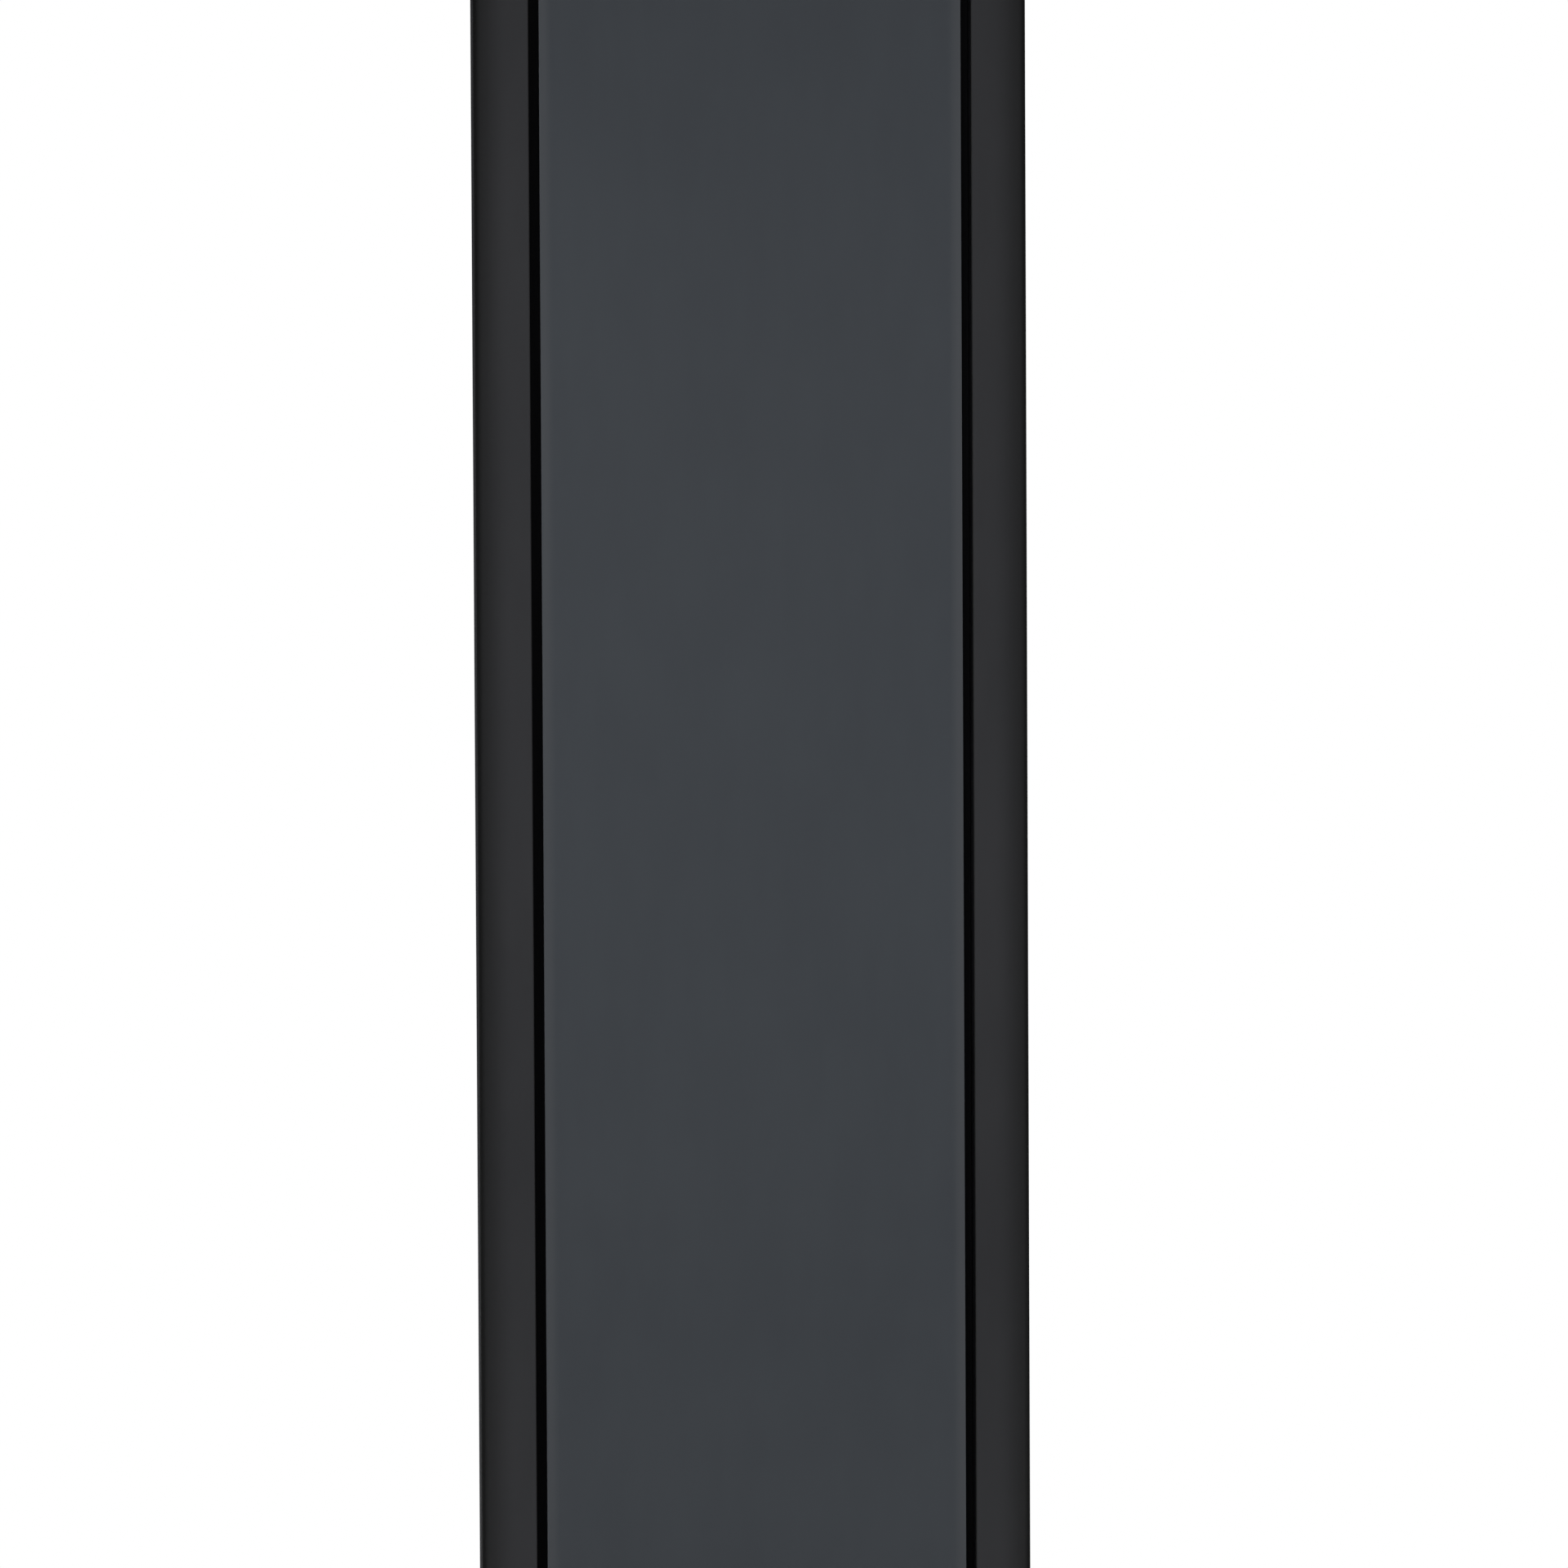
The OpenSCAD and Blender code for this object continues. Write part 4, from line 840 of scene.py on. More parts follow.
def back_boards():
    """The back, in one outline, with countersunk screws along its edges and two fixing holes."""
    proud = 0.4 * MM
    low, waist, throat, top = back_low.z, box_high.z, hood_low.z, back_high.z
    outline = [(-BOX_X, low), (BOX_X, low), (BOX_X, waist), (TRUNK_X, waist), (TRUNK_X, throat),
               (BOX_X, throat), (BOX_X, top), (-BOX_X, top), (-BOX_X, throat), (-TRUNK_X, throat),
               (-TRUNK_X, waist), (-BOX_X, waist)]
    hole, hole_x, hole_drop = 3 * MM, 100 * MM, 28 * MM
    holes = [circle(hole, 24, (side * hole_x, top - hole_drop)) for side in (-1, 1)]
    flat_piece("back_panel_board", "charcoal_lacquer", "case", [outline] + holes,
               back_high.y - proud - BACK_INNER, facing((0, back_high.y - proud, 0)), 0.7 * MM, 2,
               ["back_board"])
    inset, first, pitch = 8 * MM, 0.05, 0.15
    rows = [(BOX_X - inset, [low + first, low + 0.17, low + 0.29, waist - 0.03]),
            (TRUNK_X - inset, [waist + first + pitch * k for k in range(8)]),
            (BOX_X - inset, [throat + first, throat + 0.18, throat + 0.30, top - 0.02])]
    bm = start_mesh()
    for x, heights in rows:
        for index, z in enumerate(heights):
            for side in (-1, 1):
                turn = Matrix.Rotation(radians(37 * index + 20 * side), 4, "Z")
                at = upright((side * x, back_high.y - proud, z))
                screw_head(bm, at @ BEHIND @ turn, 3.6 * MM, proud * 0.98, True)
    finish_piece(bm, "back_board_screws", "satin_nickel", "case")


def coved_moulding(name, node, narrow_z, wide_z):
    """A moulding whose cove spreads from the trunk's width to the wider box's."""
    fillet, out = 8 * MM, 4 * MM
    step = fillet if wide_z > narrow_z else -fillet
    trunk_edge = (TRUNK_X + out, TRUNK_FRONT - out)
    box_edge = (BOX_X + out, BOX_FRONT - out)
    outer = [(narrow_z, *trunk_edge)]
    outer += cove_levels((narrow_z + step, *trunk_edge), (wide_z - step, BOX_X, BOX_FRONT))
    outer += [(wide_z - step, *box_edge), (wide_z, *box_edge)]
    inner = [(wide_z, TRUNK_X, TRUNK_FRONT), (narrow_z, TRUNK_X, TRUNK_FRONT)]
    mitred_piece(name, "charcoal_lacquer", "case", node, around(outer + inner, BACK_INNER), 0.5 * MM,
                 whole=False)


def trunk_case():
    """The trunk's crowned stiles, rails, sides and the dark strips behind the door's gap."""
    stile_pair("trunk", "case", "trunk_stiles", TRUNK_X, TRUNK_FRONT, TRUNK_FRONT + 20 * MM,
               trunk_low.z, trunk_high.z)
    refine("trunk_rails", 0.6 * MM, 2)
    refine("trunk_sides", 0.6 * MM, 2)
    refine("door_stops", 0.3 * MM)
    refine("seatboard", 0.5 * MM)


def trunk_door():
    """The flush slate door, and the latch's strike plate on its inner face."""
    # Painted highlight: the door's face is painted lighter near its two upright edges.
    edge = (door_high.x - 8 * MM, door_high.x - 2 * MM)
    coat = lacquer("trunk_door_painted_highlight_coat", SLATE_LOW, SLATE_HIGH, 0.50, 0.05, edge, SLATE_PAINTED_HIGHLIGHT)
    refine("trunk_door_panel", 1.3 * MM, 3, 32, coat)
    middle = middle_of("touch_latch_plunger")
    half_wide, half_high, thick = 9 * MM, 6.5 * MM, 0.12 * MM
    outline = rectangle(-half_wide, half_wide, -half_high, half_high)
    back = upright((middle.x, door_high.y, middle.z)) @ Matrix.Rotation(-pi / 2, 4, "X")
    flat_piece("latch_strike_plate", "satin_nickel", "trunk_door", [outline], thick, back, 0.05 * MM)


def pins_and_latch():
    """Pivot pins, the push latch's body and its round-nosed plunger."""
    refine("trunk_door_pins", 0.3 * MM)
    refine("hood_door_pins", 0.3 * MM)
    refine("touch_latch_body", 0.5 * MM, 2)
    low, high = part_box("touch_latch_plunger")
    middle = (low + high) / 2
    radius, long, nose = (high.x - low.x) / 2, high.y - low.y, 1.2 * MM
    outline = [(0, 0), (radius, 0), (radius, long - nose), (radius - nose * 0.3, long - nose * 0.3),
               (radius - nose, long), (0, long)]
    turned_piece("latch_push_plunger", "satin_nickel", "latch_plunger", outline,
                 facing((middle.x, high.y, middle.z)), 40, ["touch_latch_plunger"])


# ---- Hood -----------------------------------------------------------------------------------

def hood_case():
    """Hood face frame, sides with beaded windows, side panes and the dial mask."""
    face_frame("hood_frame", "hood", "hood_face_frame", BOX_X, BOX_FRONT, BOX_INNER,
               hood_low.z, hood_high.z, 24 * MM)
    pane_low, pane_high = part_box("hood_side_glass")
    lap, bead, glass = 8 * MM, 5 * MM, 3 * MM
    near, far = pane_low.y + lap, pane_high.y - lap
    low, high = pane_low.z + lap, pane_high.z - lap
    inner = BOX_X - BOARD
    board_outline = rectangle(BOX_INNER, BACK_INNER, hood_low.z, hood_high.z)
    window = rectangle(near, far, low, high)
    curve = [(bead - bead * up, near + bead * out, far - bead * out, low + bead * out, high - bead * out)
             for up, out in quarter(4)]
    for side, word in SIDES:
        wall = sideways((side * inner, 0, 0), side)
        flat_piece(f"hood_side_{word}", "charcoal_lacquer", "hood", [board_outline, window], BOARD, wall,
                   0.7 * MM, 2, ["hood_sides"])
        bm = start_mesh()
        add_mitred(bm, [(0, near, far, low, high)] + curve[::-1], wall)
        finish_piece(bm, f"window_bead_{word}", "charcoal_lacquer", "hood")
        ends = sorted((side * inner, side * (inner - glass)))
        board_piece(f"side_pane_{word}", "clear_glass", "hood", (ends[0], pane_low.y, pane_low.z),
                    (ends[1], pane_high.y, pane_high.z), "hood_side_glass", 0.3 * MM, 1)
    mask_low, mask_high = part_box("dial_mask")
    sight = DIAL_HALF - 8 * MM
    outline = rectangle(mask_low.x, mask_high.x, mask_low.z - dial_centre.z, mask_high.z - dial_centre.z)
    flat_piece("dial_mask_board", "black_stain", "hood", [outline, rectangle(-sight, sight, -sight, sight)],
               mask_high.y - mask_low.y, facing((0, mask_high.y, dial_centre.z)), 1.2 * MM, 2,
               ["dial_mask"])


def cornice_and_top():
    """The cornice's cove, hollow inside, and the top board with a rounded nosing."""
    stand_off, lip, step, nosing = 2 * MM, 3 * MM, 10 * MM, 3 * MM
    low, top = cornice_low.z, cornice_high.z
    slab = top - 20 * MM
    edge = (BOX_X + stand_off, BOX_FRONT - stand_off)
    outer = [(low, *edge)]
    outer += cove_levels((low + step, *edge), (slab, cornice_high.x - lip, cornice_low.y + lip))
    hollow = (BOARD - BOX_X, BOX_X - BOARD, BOX_INNER, BACK_INNER - 12 * MM)
    levels = around(outer, BACK_INNER) + [(slab, *hollow), (low, *hollow)]
    mitred_piece("cornice_cove", "charcoal_lacquer", "hood", "cornice", levels, 0.5 * MM)
    board_piece("cornice_top_board", "charcoal_lacquer", "hood", (cornice_low.x, cornice_low.y, slab),
                (cornice_high.x, cornice_high.y, top), "cornice", nosing, 5)


def hood_door():
    """The glazed door: a mitred frame with an ovolo at the sight edge, its pane, and its knob."""
    half_x = hood_door_high.x
    half_z = (hood_door_high.z - hood_door_low.z) / 2
    thick = hood_door_high.y - hood_door_low.y
    wide, rebate, ovolo, quirk, flat = 32 * MM, 4 * MM, 5 * MM, 0.8 * MM, 2 * MM
    rebate_deep = 14 * MM

    def level(depth, inset):
        return (thick - depth, -half_x + inset, half_x - inset, -half_z + inset, half_z - inset)

    sight = wide - ovolo - flat
    levels = [level(thick, 0), level(0, 0), level(0, sight), level(quirk, sight)]
    levels += [level(quirk + ovolo * out, wide - ovolo + ovolo * up) for up, out in quarter(6)]
    levels += [level(rebate_deep, wide), level(rebate_deep, wide - rebate), level(thick, wide - rebate)]
    mitred_piece("hood_door_mitred_frame", "slate_lacquer", "hood_door", "hood_door_frame", levels,
                 0.5 * MM, facing((0, hood_door_high.y, dial_centre.z)), 60)
    board_piece("hood_door_pane", "clear_glass", "hood_door", *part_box("hood_door_glass"),
                "hood_door_glass", 0.3 * MM, 1)
    knob_low, knob_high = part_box("hood_door_knob")
    middle = (knob_low + knob_high) / 2
    radius, long = (knob_high.x - knob_low.x) / 2, knob_high.y - knob_low.y
    outline = mm_points((0, 0), (5.6, 0), (5.6, 1.0), (5.0, 1.6), (3.6, 2.2), (3.4, 4.5), (4.2, 5.8))
    outline += [(radius - 0.8 * MM, 7.0 * MM), (radius, 8.2 * MM), (radius, long - 2.0 * MM),
                (radius - 0.6 * MM, long - 0.7 * MM), (radius - 1.8 * MM, long),
                (2 * MM, long - 0.5 * MM), (0, long - 0.55 * MM)]
    turned_piece("hood_door_turned_knob", "satin_nickel", "hood_door", outline,
                 facing((middle.x, knob_high.y, middle.z)), 56, ["hood_door_knob"])


# ---- Dial and hands -------------------------------------------------------------------------

def dial():
    """The dial plate, its minute track, seconds ring, eyelets, corner screws and markers."""
    wind_x = middle_of("going_barrel").x
    wind_z = middle_of("going_barrel").z - dial_centre.z
    seconds_z = seconds_centre.z - dial_centre.z
    plate_t, pipe_hole, seconds_hole, square = 2 * MM, 7 * MM, 2.5 * MM, 131 * MM
    holes = [circle(pipe_hole, 40), circle(seconds_hole, 24, (0, seconds_z))]
    holes += [circle(pipe_hole, 40, (side * wind_x, wind_z)) for side in (-1, 1)]
    outline = rectangle(-DIAL_HALF, DIAL_HALF, -DIAL_HALF, DIAL_HALF)
    back = facing((0, DIAL_FACE + plate_t, dial_centre.z))
    bm = start_mesh()
    add_flat(bm, [outline] + holes, plate_t, back, 0.25 * MM, 1)
    foot = mm_points((0, 0), (2.5, 0), (2.5, 28), (0, 28))
    for x in (-70 * MM, 70 * MM):
        for z in (-45 * MM, 85 * MM):
            add_turned(bm, foot, facing((x, front_plate_low.y + 18 * MM, dial_centre.z + z)), 24)
    finish_piece(bm, "dial_enamelled_plate", "dial_enamel", "case", ["dial_plate"])

    front = facing(dial_centre)
    ink = 0.15 * MM
    bm = start_mesh()
    for radius in (123 * MM, 131 * MM):
        add_turned(bm, ring(radius, 0.5 * MM, ink), front, 120, True)
    for minute in range(60):
        wide = 1.4 * MM if minute % 5 == 0 else 0.6 * MM
        add_bar(bm, front, minute * 6, 123.4 * MM, 130.8 * MM, wide, ink)
    add_border(bm, front, 136 * MM, 0.7 * MM, ink)
    finish_piece(bm, "minute_track", SLOT_OF["hour_markers"], "case")

    small = facing(seconds_centre)
    bm = start_mesh()
    add_turned(bm, ring(26.5 * MM, 0.35 * MM, ink), small, 72, True)
    for second in range(60):
        long = 3.2 * MM if second % 5 == 0 else 1.6 * MM
        add_bar(bm, small, second * 6, 26.2 * MM - long, 26.3 * MM, 0.35 * MM, ink)
    finish_piece(bm, "seconds_ring", SLOT_OF["hour_markers"], "case")

    bm = start_mesh()
    for side in (-1, 1):
        at = dial_centre + Vector((side * wind_x, 0, wind_z))
        lip = mm_points((6.4, -1.2), (6.9, -1.2), (6.9, 0), (9, 0), (9.2, 0.25), (8.6, 0.6), (7.2, 0.7),
                        (6.4, 0.2))
        add_turned(bm, lip, facing(at), 48, True)
    finish_piece(bm, "winding_eyelets", "clock_brass", "case")

    bm = start_mesh()
    for x in (-1, 1):
        for z in (-1, 1):
            at = dial_centre + Vector((x * square, 0, z * square))
            turn = Matrix.Rotation(radians(40 + 65 * x + 23 * z), 4, "Z")
            screw_head(bm, facing(at) @ turn, 2.6 * MM, 0.9 * MM)
    finish_piece(bm, "dial_corner_screws", "blued_steel", "case")

    bm = start_mesh()
    marker_low, marker_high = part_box("hour_markers")
    outer = marker_high.z - dial_centre.z
    inner = outer - 24 * MM
    thick = marker_high.y - marker_low.y
    for hour in range(12):
        if hour == 0:
            for offset in (-5 * MM, 5 * MM):
                add_bar(bm, front, 0, inner, outer, 4 * MM, thick, 0.7 * MM, offset)
        else:
            add_bar(bm, front, hour * 30, inner, outer, 5 * MM, thick, 0.8 * MM)
    finish_piece(bm, "hour_baton_markers", SLOT_OF["hour_markers"], "case", ["hour_markers"], 20)


def ring(radius, wide, thick):
    """The closed section of a flat ring."""
    return [(radius - wide / 2, 0), (radius + wide / 2, 0), (radius + wide / 2, thick),
            (radius - wide / 2, thick)]


def add_bar(bm, place, degrees_on, near, far, wide, thick, radius=0.0, offset=0.0):
    """A bar on the dial that points at its centre, clockwise from twelve, its front edges cut back."""
    made = bmesh.ops.create_cube(bm, size=1.0)["verts"]
    bmesh.ops.scale(bm, vec=(wide, far - near, thick), verts=made)
    bmesh.ops.translate(bm, vec=(offset, (near + far) / 2, thick / 2), verts=made)
    fronts = [edge for edge in edges_of(made) if all(vert.co.z > thick * 0.9 for vert in edge.verts)]
    before = set(bm.verts) - set(made)
    if radius:
        ease(bm, fronts, radius, 1)
    turn = Matrix.Rotation(-radians(degrees_on), 4, "Z")
    bmesh.ops.transform(bm, matrix=place @ turn, verts=fresh(bm, before))


def add_border(bm, place, half, wide, thick):
    """A thin square line round the dial."""
    inner = half - wide
    add_mitred(bm, [(height, -reach, reach, -reach, reach) for height, reach
                    in ((0, half), (thick, half), (thick, inner), (0, inner))], place)


def add_hand(bm, place, degrees_on, long, tail, wide, boss, bore, thick, ridge):
    """A faceted hand: a narrow lozenge with a ridge down its middle, and a flat round boss."""
    outline = [(0, -tail), (wide * 0.36, -tail + wide * 0.3), (wide / 2, 0), (wide * 0.3, long - 4 * MM),
               (0, long), (-wide * 0.3, long - 4 * MM), (-wide / 2, 0), (-wide * 0.36, -tail + wide * 0.3)]
    turn = place @ Matrix.Rotation(-radians(degrees_on), 4, "Z")
    for low, high in ((-tail, -boss * 0.8), (boss * 0.8, long)):
        before = set(bm.verts)
        corners = [bm.verts.new((x, y, 0)) for x, y in outline]
        bm.faces.new(corners)
        for end, way in ((low, -1), (high, 1)):
            cut(bm, before, (0, end, 0), (0, way, 0), True)
        cut(bm, before, (0, 0, 0), (1, 0, 0))
        grown = bmesh.ops.extrude_face_region(bm, geom=faces_of(fresh(bm, before)))["geom"]
        raised = corners_in(grown)
        bmesh.ops.translate(bm, vec=(0, 0, thick * 0.55), verts=raised)
        spine = [vert for vert in raised if abs(vert.co.x) < LEAST]
        bmesh.ops.translate(bm, vec=(0, 0, thick * 0.45 + ridge), verts=spine)
        bmesh.ops.transform(bm, matrix=turn, verts=fresh(bm, before))
    collar = [(bore, 0), (boss, 0), (boss, thick * 0.8), (boss - 0.3 * MM, thick), (bore, thick)]
    add_turned(bm, collar, place, 48, True)


def hands():
    """Hour, minute and second hands, with the collet and pin that hold them on the arbor."""
    hour_low, hour_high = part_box("hour_hand")
    minute_low, minute_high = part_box("minute_hand")
    second_low, second_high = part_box("second_hand")
    shown_hours, shown_minutes = 10, 9
    hour_at = facing((0, hour_high.y, dial_centre.z))
    bm = start_mesh()
    add_hand(bm, hour_at, 30 * (shown_hours + shown_minutes / 60), 76 * MM, 22 * MM, 7 * MM, 9 * MM,
             5 * MM, hour_high.y - hour_low.y, 0.4 * MM)
    finish_piece(bm, "hour_faceted_hand", SLOT_OF["hour_hand"], "hour_work", ["hour_hand"], 12)
    bm = start_mesh()
    minute_at = facing((0, minute_high.y, dial_centre.z))
    add_hand(bm, minute_at, 6 * shown_minutes, 108 * MM, 26 * MM, 5 * MM, 7 * MM, 3 * MM,
             minute_high.y - minute_low.y, 0.4 * MM)
    finish_piece(bm, "minute_faceted_hand", SLOT_OF["minute_hand"], "minute_work", ["minute_hand"], 12)
    bm = start_mesh()
    collet = mm_points((1.8, 0.05), (5.4, 0.05), (5.4, 0.5), (4.2, 1.2), (2.6, 1.6), (1.8, 1.6))
    add_turned(bm, collet, facing((0, minute_low.y, dial_centre.z)), 40, True)
    pin = mm_points((0, -4.4), (0.32, -4.4), (0.45, 4.6), (0, 4.6))
    at = Matrix.Translation((0, minute_low.y - 2.1 * MM, dial_centre.z))
    add_turned(bm, pin, at @ Matrix.Rotation(radians(72), 4, "Y"), 16)
    finish_piece(bm, "hand_collet_and_pin", "clock_brass", "minute_work")
    bm = start_mesh()
    at = facing((0, second_high.y, seconds_centre.z))
    thick = second_high.y - second_low.y
    turn = at @ Matrix.Rotation(radians(150), 4, "Z")
    needle = mm_points((-0.45, 0), (0.45, 0), (0.22, 24), (-0.22, 24))
    counterpoise = mm_points((-0.9, -9), (0.9, -9), (0.6, -1), (-0.6, -1))
    add_flat(bm, [needle], thick * 0.8, turn)
    add_flat(bm, [counterpoise], thick * 0.8, turn, 0.1 * MM)
    add_turned(bm, [(0.5 * MM, 0), (2.6 * MM, 0), (2.6 * MM, thick * 0.7), (2.1 * MM, thick),
                    (0.5 * MM, thick)], at, 32, True)
    finish_piece(bm, "second_slim_hand", SLOT_OF["second_hand"], "escape", ["second_hand"])


# ---- Movement -------------------------------------------------------------------------------

def movement():
    """Plates, trains, anchor, cock and hammer, with the screws that hold the plates."""
    fine, coarse = 0.12 * MM, 0.3 * MM
    for node in ("movement_front_plate", "movement_back_plate", "back_cock", "plate_pillars",
                 "going_barrel", "strike_barrel", "pallet_anchor"):
        refine(node, coarse)
    refine("hammer", fine)
    for node in ("going_great_wheel", "centre_wheel", "third_wheel", "escape_wheel", "minute_wheel",
                 "hour_wheel", "strike_great_wheel", "pin_wheel", "warning_wheel", "fly"):
        refine(node)
    pillar_x, pillar_low, pillar_high = 74 * MM, -46 * MM, 86 * MM
    head, proud = 4 * MM, 1.6 * MM
    spots = [(-pillar_x, pillar_low), (pillar_x, pillar_low), (-pillar_x, pillar_high),
             (pillar_x, pillar_high), (0, pillar_low)]
    bm = start_mesh()
    for index, (x, z) in enumerate(spots):
        turn = Matrix.Rotation(radians(31 + 47 * index), 4, "Z")
        height = dial_centre.z + z
        screw_head(bm, facing((x, PLATE_FACE, height)) @ turn, head, proud)
        screw_head(bm, upright((x, PLATES_BACK, height)) @ BEHIND @ turn, head, proud)
    finish_piece(bm, "plate_pillar_screws", "blued_steel", "case")


def bell():
    """The bell: a thin turned shell with a rolled rim, on its post and bar with an acorn nut."""
    rim, rise = dial_centre.z + 104 * MM, 34 * MM
    radius, wall, hole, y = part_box("bell")[1].x, 2.5 * MM, 2.5 * MM, -33 * MM
    outer = [(max(radius * (1 - out), hole), rise * up) for up, out in quarter(20)]
    inner = [(max((radius - wall) * (1 - out), hole), (rise - wall) * up) for up, out in quarter(20)]
    lip = [(radius - wall, 0), (radius - 1.2 * MM, -0.4 * MM), (radius, 0.2 * MM)]
    turned_piece("bell_shell", "bell_metal", "case", outer[1:] + inner[:0:-1] + lip, upright((0, y, rim)),
                 96, ["bell"], True)
    bar_z, bar_half = dial_centre.z + 94 * MM, 6 * MM
    post = [(0, bar_z - rim - rise), (3 * MM, bar_z - rim - rise)]
    post += mm_points((3, 1.5), (4.2, 1.8), (4.2, 2.6), (3, 3.4), (0, 4))
    seat = mm_points((0, -5.5), (6, -5.5), (6, -2), (0, -1.5))
    washer = mm_points((0, -0.8), (6, -0.6), (6, 1.2), (0, 1.4))
    crown = upright((0, y, rim + rise))
    bm = start_mesh()
    add_turned(bm, post, crown, 32)
    add_turned(bm, seat, crown, 6)
    add_turned(bm, washer, crown, 40)
    add_board(bm, (-bar_half, PLATE_FACE, bar_z), (bar_half, PLATES_BACK, bar_z + 4 * MM), 0.5 * MM)
    finish_piece(bm, "bell_post_and_bar", "clock_brass", "case", ["bell"])


# ---- Pendulum, weights and lines ------------------------------------------------------------

def pendulum():
    """The rod with its suspension, the lens-shaped bob and the knurled rating nut."""
    refine("pendulum_rod", 0.25 * MM)
    middle = (bob_low + bob_high) / 2
    radius, thick = (bob_high.x - bob_low.x) / 2, bob_high.y - bob_low.y
    edge, steps = 6 * MM, 22
    sag = (thick - edge) / 2
    arc = (radius * radius + sag * sag) / (2 * sag)
    outline = []
    for k in range(steps + 1):
        across = (radius - 1.2 * MM) * k / steps
        outline.append((across, edge / 2 + sqrt(arc * arc - across * across) - arc + sag))
    outline += [(radius - 0.5 * MM, edge / 2 - 0.2 * MM), (radius, edge / 2 - 1 * MM)]
    outline += [(r, -h) for r, h in outline[::-1]]
    coat = turned_metal("bob_buffed_brass", (0.74, 0.52, 0.22), BRASS_DULL, 0.10, middle, "Y")
    turned_piece("pendulum_lens_bob", "polished_brass", "pendulum", outline[::-1], facing(middle), 128,
                 ["pendulum_bob"], False, 40, coat)
    nut_low, nut_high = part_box("rating_nut")
    nut = (nut_low + nut_high) / 2
    big, long = (nut_high.x - nut_low.x) / 2, nut_high.z - nut_low.z
    bore, neck, flange, grips, groove_share = 3.06 * MM, 6 * MM, 6 * MM, 72, 0.94
    outline = [(bore, 0), (big - 0.8 * MM, 0), (big, 0.8 * MM), (big, flange - 0.8 * MM),
               (big - 0.8 * MM, flange), (neck, flange), (neck, long - 0.5 * MM),
               (neck - 0.5 * MM, long), (bore, long)]
    bm = start_mesh()
    made = add_turned(bm, outline, upright((nut.x, nut.y, nut_low.z)), grips, True)
    centre = Vector((nut.x, nut.y, 0))
    grooves = [vert for vert in made
               if (vert.co.xy - centre.xy).length > big - 0.1 * MM
               and round((vert.co.xy - centre.xy).angle_signed(Vector((1, 0))) / tau * grips) % 2]
    bmesh.ops.scale(bm, vec=(groove_share, groove_share, 1), space=Matrix.Translation(-centre),
                    verts=grooves)
    finish_piece(bm, "rating_knurled_nut", "clock_brass", "rating", ["rating_nut"], 20)


def weight(word):
    """A brass-cased weight with rolled ends, its hook rod, the pulley and the pulley's stirrup."""
    low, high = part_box(f"{word}_weight")
    axle = middle_of(f"{word}_pulley")
    radius, long, roll, groove = (high.x - low.x) / 2, 160 * MM, 3 * MM, 0.5 * MM
    outline = [(0, 1.2 * MM), (radius - 7 * MM, 1.2 * MM), (radius - 5 * MM, 0)]
    outline += [(radius - roll * (1 - up), roll * out) for up, out in quarter(4)]
    outline += [(radius, 12 * MM), (radius - groove, 12.4 * MM), (radius - groove, 13.6 * MM),
                (radius, 14 * MM)]
    outline += [(r, long - h) for r, h in outline[::-1]][:-1]
    hook = mm_points((9, -1.2), (9, 3), (8, 4), (3.2, 4.2), (2.5, 5.5), (2.5, 31), (0, 31))
    outline += [(r, long + h) for r, h in hook]
    turned_piece(f"{word}_weight_shell", "polished_brass", f"{word}_drive", outline,
                 upright(((low.x + high.x) / 2, axle.y, low.z)), 80, [f"{word}_weight"], False, 40)
    sheave, drop, cheek, half = 9 * MM, 31 * MM, 2 * MM, 6 * MM
    outline = [(-half, -drop), (half, -drop)]
    outline += [(half * cos(pi * k / 12), 2 * MM + 5 * MM * sin(pi * k / 12)) for k in range(13)]
    bm = start_mesh()
    for way in (-1, 1):
        y = axle.y + way * (sheave / 2 + 1.5 * MM) + cheek / 2
        add_flat(bm, [outline], cheek, facing((axle.x, y, axle.z)), 0.3 * MM, 1)
    reach = sheave / 2 + 2.5 * MM
    add_board(bm, (axle.x - half, axle.y - reach, axle.z - drop),
              (axle.x + half, axle.y + reach, axle.z - drop + 4 * MM), 0.4 * MM)
    end, ease_end = sheave / 2 + 2 * MM, 0.4 * MM
    pin = [(0, -end), (1.6 * MM, -end), (2 * MM, -end + ease_end)]
    add_turned(bm, pin + [(r, -h) for r, h in pin[::-1]], facing(axle), 28)
    finish_piece(bm, f"{word}_weight_stirrup", "clock_brass", f"{word}_drive", [f"{word}_weight"])
    refine(f"{word}_pulley", 0.4 * MM, 2, 40)


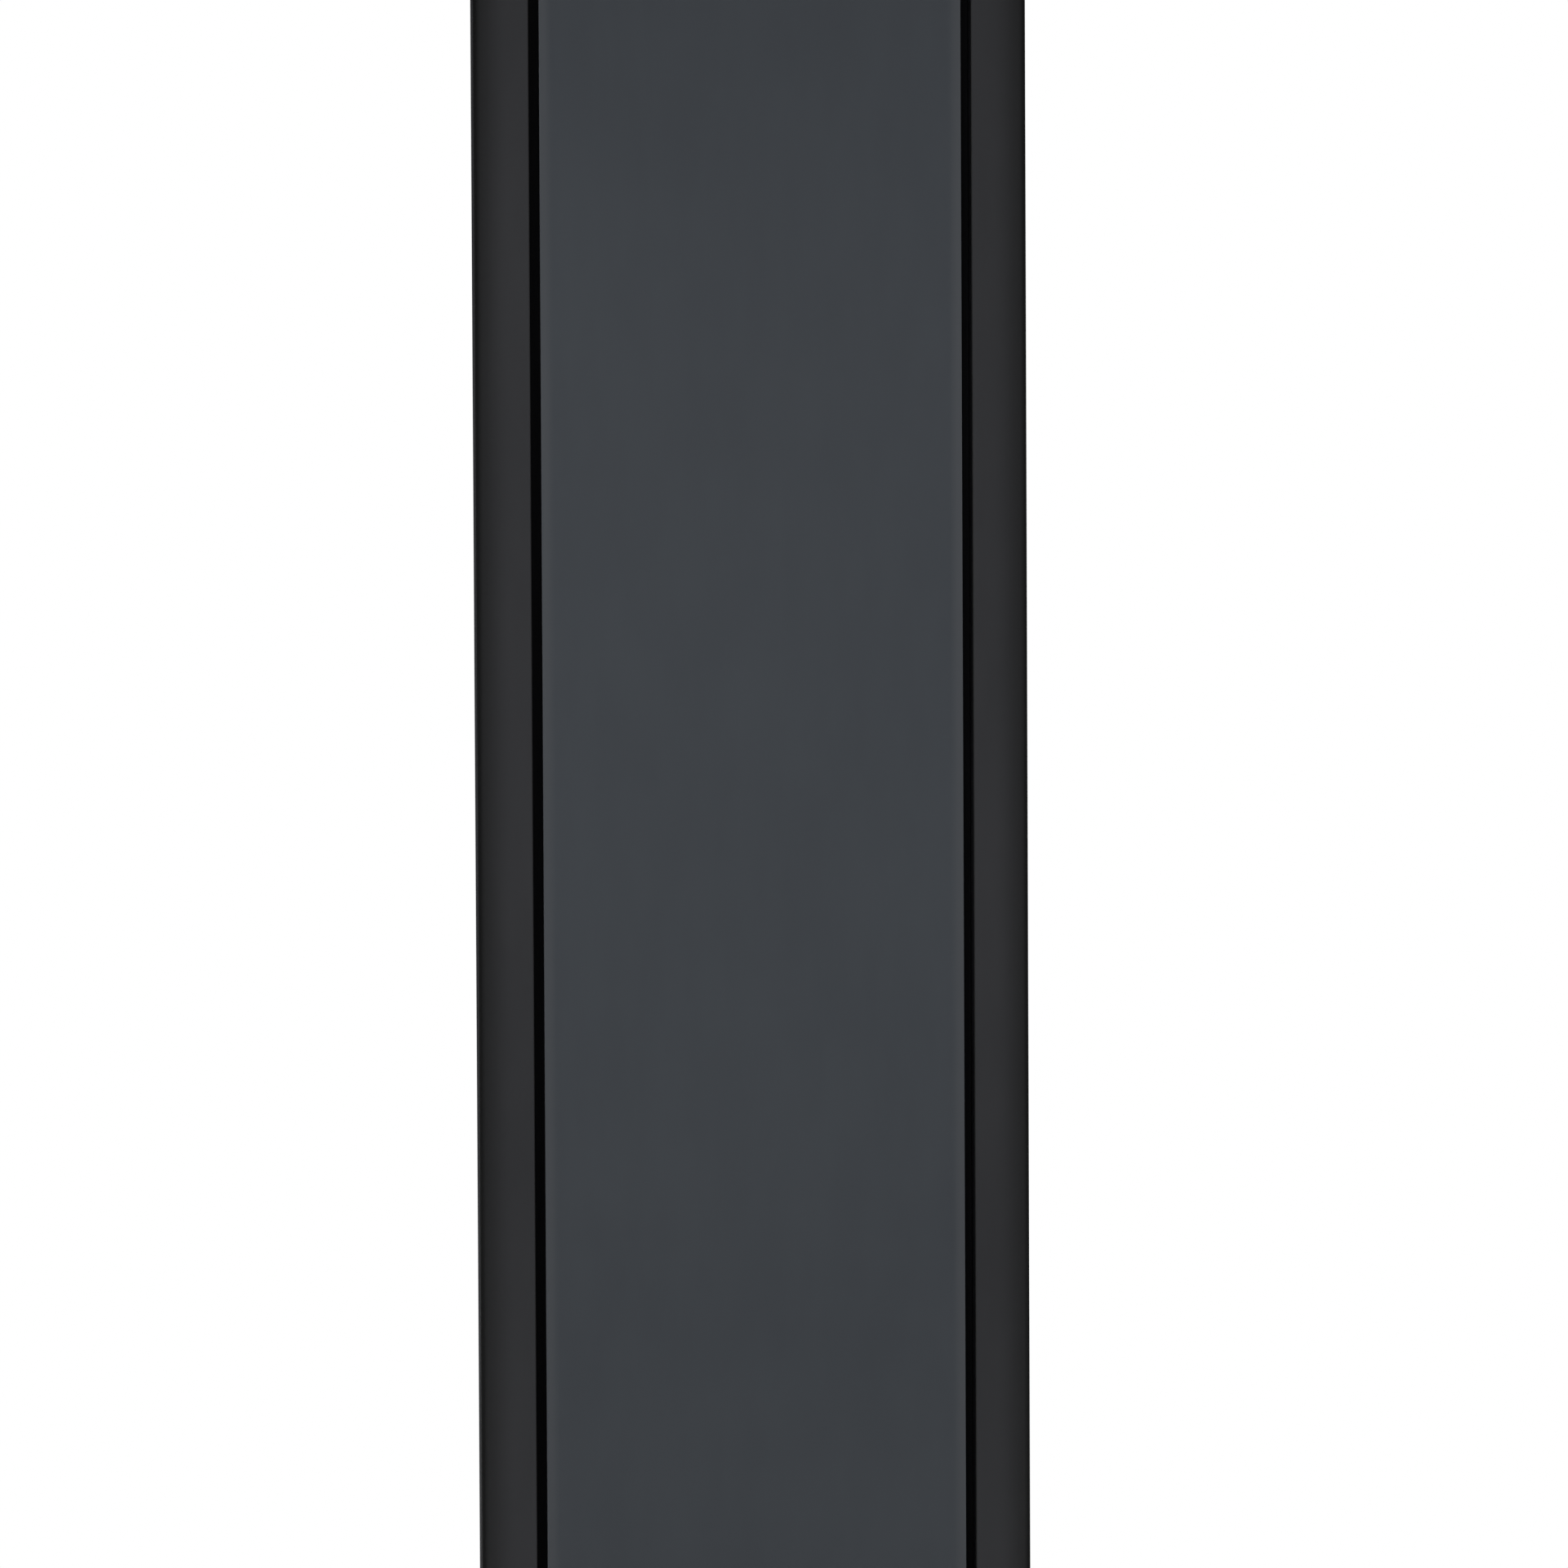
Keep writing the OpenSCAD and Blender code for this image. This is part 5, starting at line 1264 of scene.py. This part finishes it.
def line(word, side):
    """The cable: off the barrel, under the pulley, and up to its knot on the seatboard."""
    axle = middle_of(f"{word}_pulley")
    line_low, line_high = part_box(f"{word}_line")
    radius, sides, bends = 0.8 * MM, 14, 40
    reach = (line_high.x - line_low.x) / 2 - radius
    inner_x, outer_x = axle.x - side * reach, axle.x + side * reach
    top_inner, top_outer = line_high.z, seat_high.z

    bm = start_mesh()
    bmesh.ops.create_circle(bm, cap_ends=False, radius=radius, segments=sides)
    ends = list(bm.verts)
    bmesh.ops.translate(bm, vec=(inner_x, axle.y, axle.z), verts=ends)
    bmesh.ops.spin(bm, geom=ends + edges_of(ends), cent=axle, axis=(0, side, 0), angle=-pi, steps=bends,
                   use_merge=False, use_duplicate=False)
    first = [edge for edge in bm.edges if edge.is_boundary
             and all(abs(vert.co.x - inner_x) < 2 * radius and abs(vert.co.z - axle.z) < radius
                     for vert in edge.verts)]
    grown = bmesh.ops.extrude_edge_only(bm, edges=first)["geom"]
    bmesh.ops.translate(bm, vec=(0, 0, top_inner - axle.z), verts=corners_in(grown))
    bmesh.ops.holes_fill(bm, edges=[edge for edge in bm.edges if edge.is_boundary], sides=0)
    stretching_piece(bm, f"{word}_line_run", word, (inner_x, axle.y, top_inner), (inner_x, axle.y, axle.z))

    bm = start_mesh()
    fall = top_outer - axle.z
    foot, head = (outer_x, axle.y, axle.z), (outer_x, axle.y, top_outer)
    add_turned(bm, [(0, 0), (radius, 0), (radius, fall), (0, fall)], upright(foot), sides)
    stretching_piece(bm, f"{word}_line_fall", word, head, foot)

    knot = mm_points((0, 0), (2.2, 0.2), (3.0, 1.6), (2.4, 3.2), (2.7, 4.2), (2.0, 5.6), (0.9, 6.2),
                     (0.8, 9), (0, 9.2))
    turned_piece(f"{word}_line_knot", "steel_cable", "case", knot, upright(head), 24)

    centre = middle_of(f"{word}_barrel")
    drum, pitch, sunk, clear = 25 * MM, 1.8 * MM, 0.5 * MM, 0.25 * MM
    start, turns = -27.9 * MM, 14
    outline = [(drum - sunk, 0)]
    for k in range(turns):
        for bend in range(5):
            angle = pi * bend / 4
            outline.append((drum + radius * sin(angle) + clear, pitch * k + radius * (1 - cos(angle))))
    outline += [(drum - sunk, pitch * turns)]
    turned_piece(f"{word}_line_coil", "steel_cable", f"{word}_drum", outline,
                 facing((centre.x, start, centre.z)), 96, (), True, 60)


def stretching_piece(bm, name, word, start, end):
    """A length of line that stretches between the case and its weight."""
    piece = close_mesh(bm, name, "steel_cable", 40)
    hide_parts(f"{word}_line")
    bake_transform(piece, "case", f"{word}_drive", start=start, end=end)


# ---- Floor and assembly ---------------------------------------------------------------------

def floor():
    """A plain pale round floor that fades out towards its rim."""
    coat = Shader("pale_floor_paint")
    cloud = coat.noise(coat.place(), 0.4, 2.0)
    coat.set(Alpha=coat.limit(coat.length(coat.place()), FADE_START, FADE_END, 1.0, 0.0))
    coat.set(Base_Color=coat.blend(cloud, (0.80, 0.80, 0.79), (0.84, 0.84, 0.83)), Roughness=0.7)
    bm = bmesh.new()
    bmesh.ops.create_circle(bm, cap_ends=True, radius=FLOOR_RADIUS, segments=128)
    mesh = bpy.data.meshes.new("floor")
    bm.to_mesh(mesh)
    bm.free()
    mesh.materials.append(coat.material)
    add_object("floor", mesh)


place_camera()
light_studio()
surround()
floor()
glides()
plinth_frame()
base_case()
back_boards()
coved_moulding("waist_cove", "waist_moulding", waist_high.z, waist_low.z)
coved_moulding("throat_cove", "throat_moulding", throat_low.z, throat_high.z)
trunk_case()
trunk_door()
pins_and_latch()
hood_case()
cornice_and_top()
hood_door()
dial()
hands()
movement()
bell()
pendulum()
for drive, hand_side in (("going", 1), ("strike", -1)):
    weight(drive)
    line(drive, hand_side)
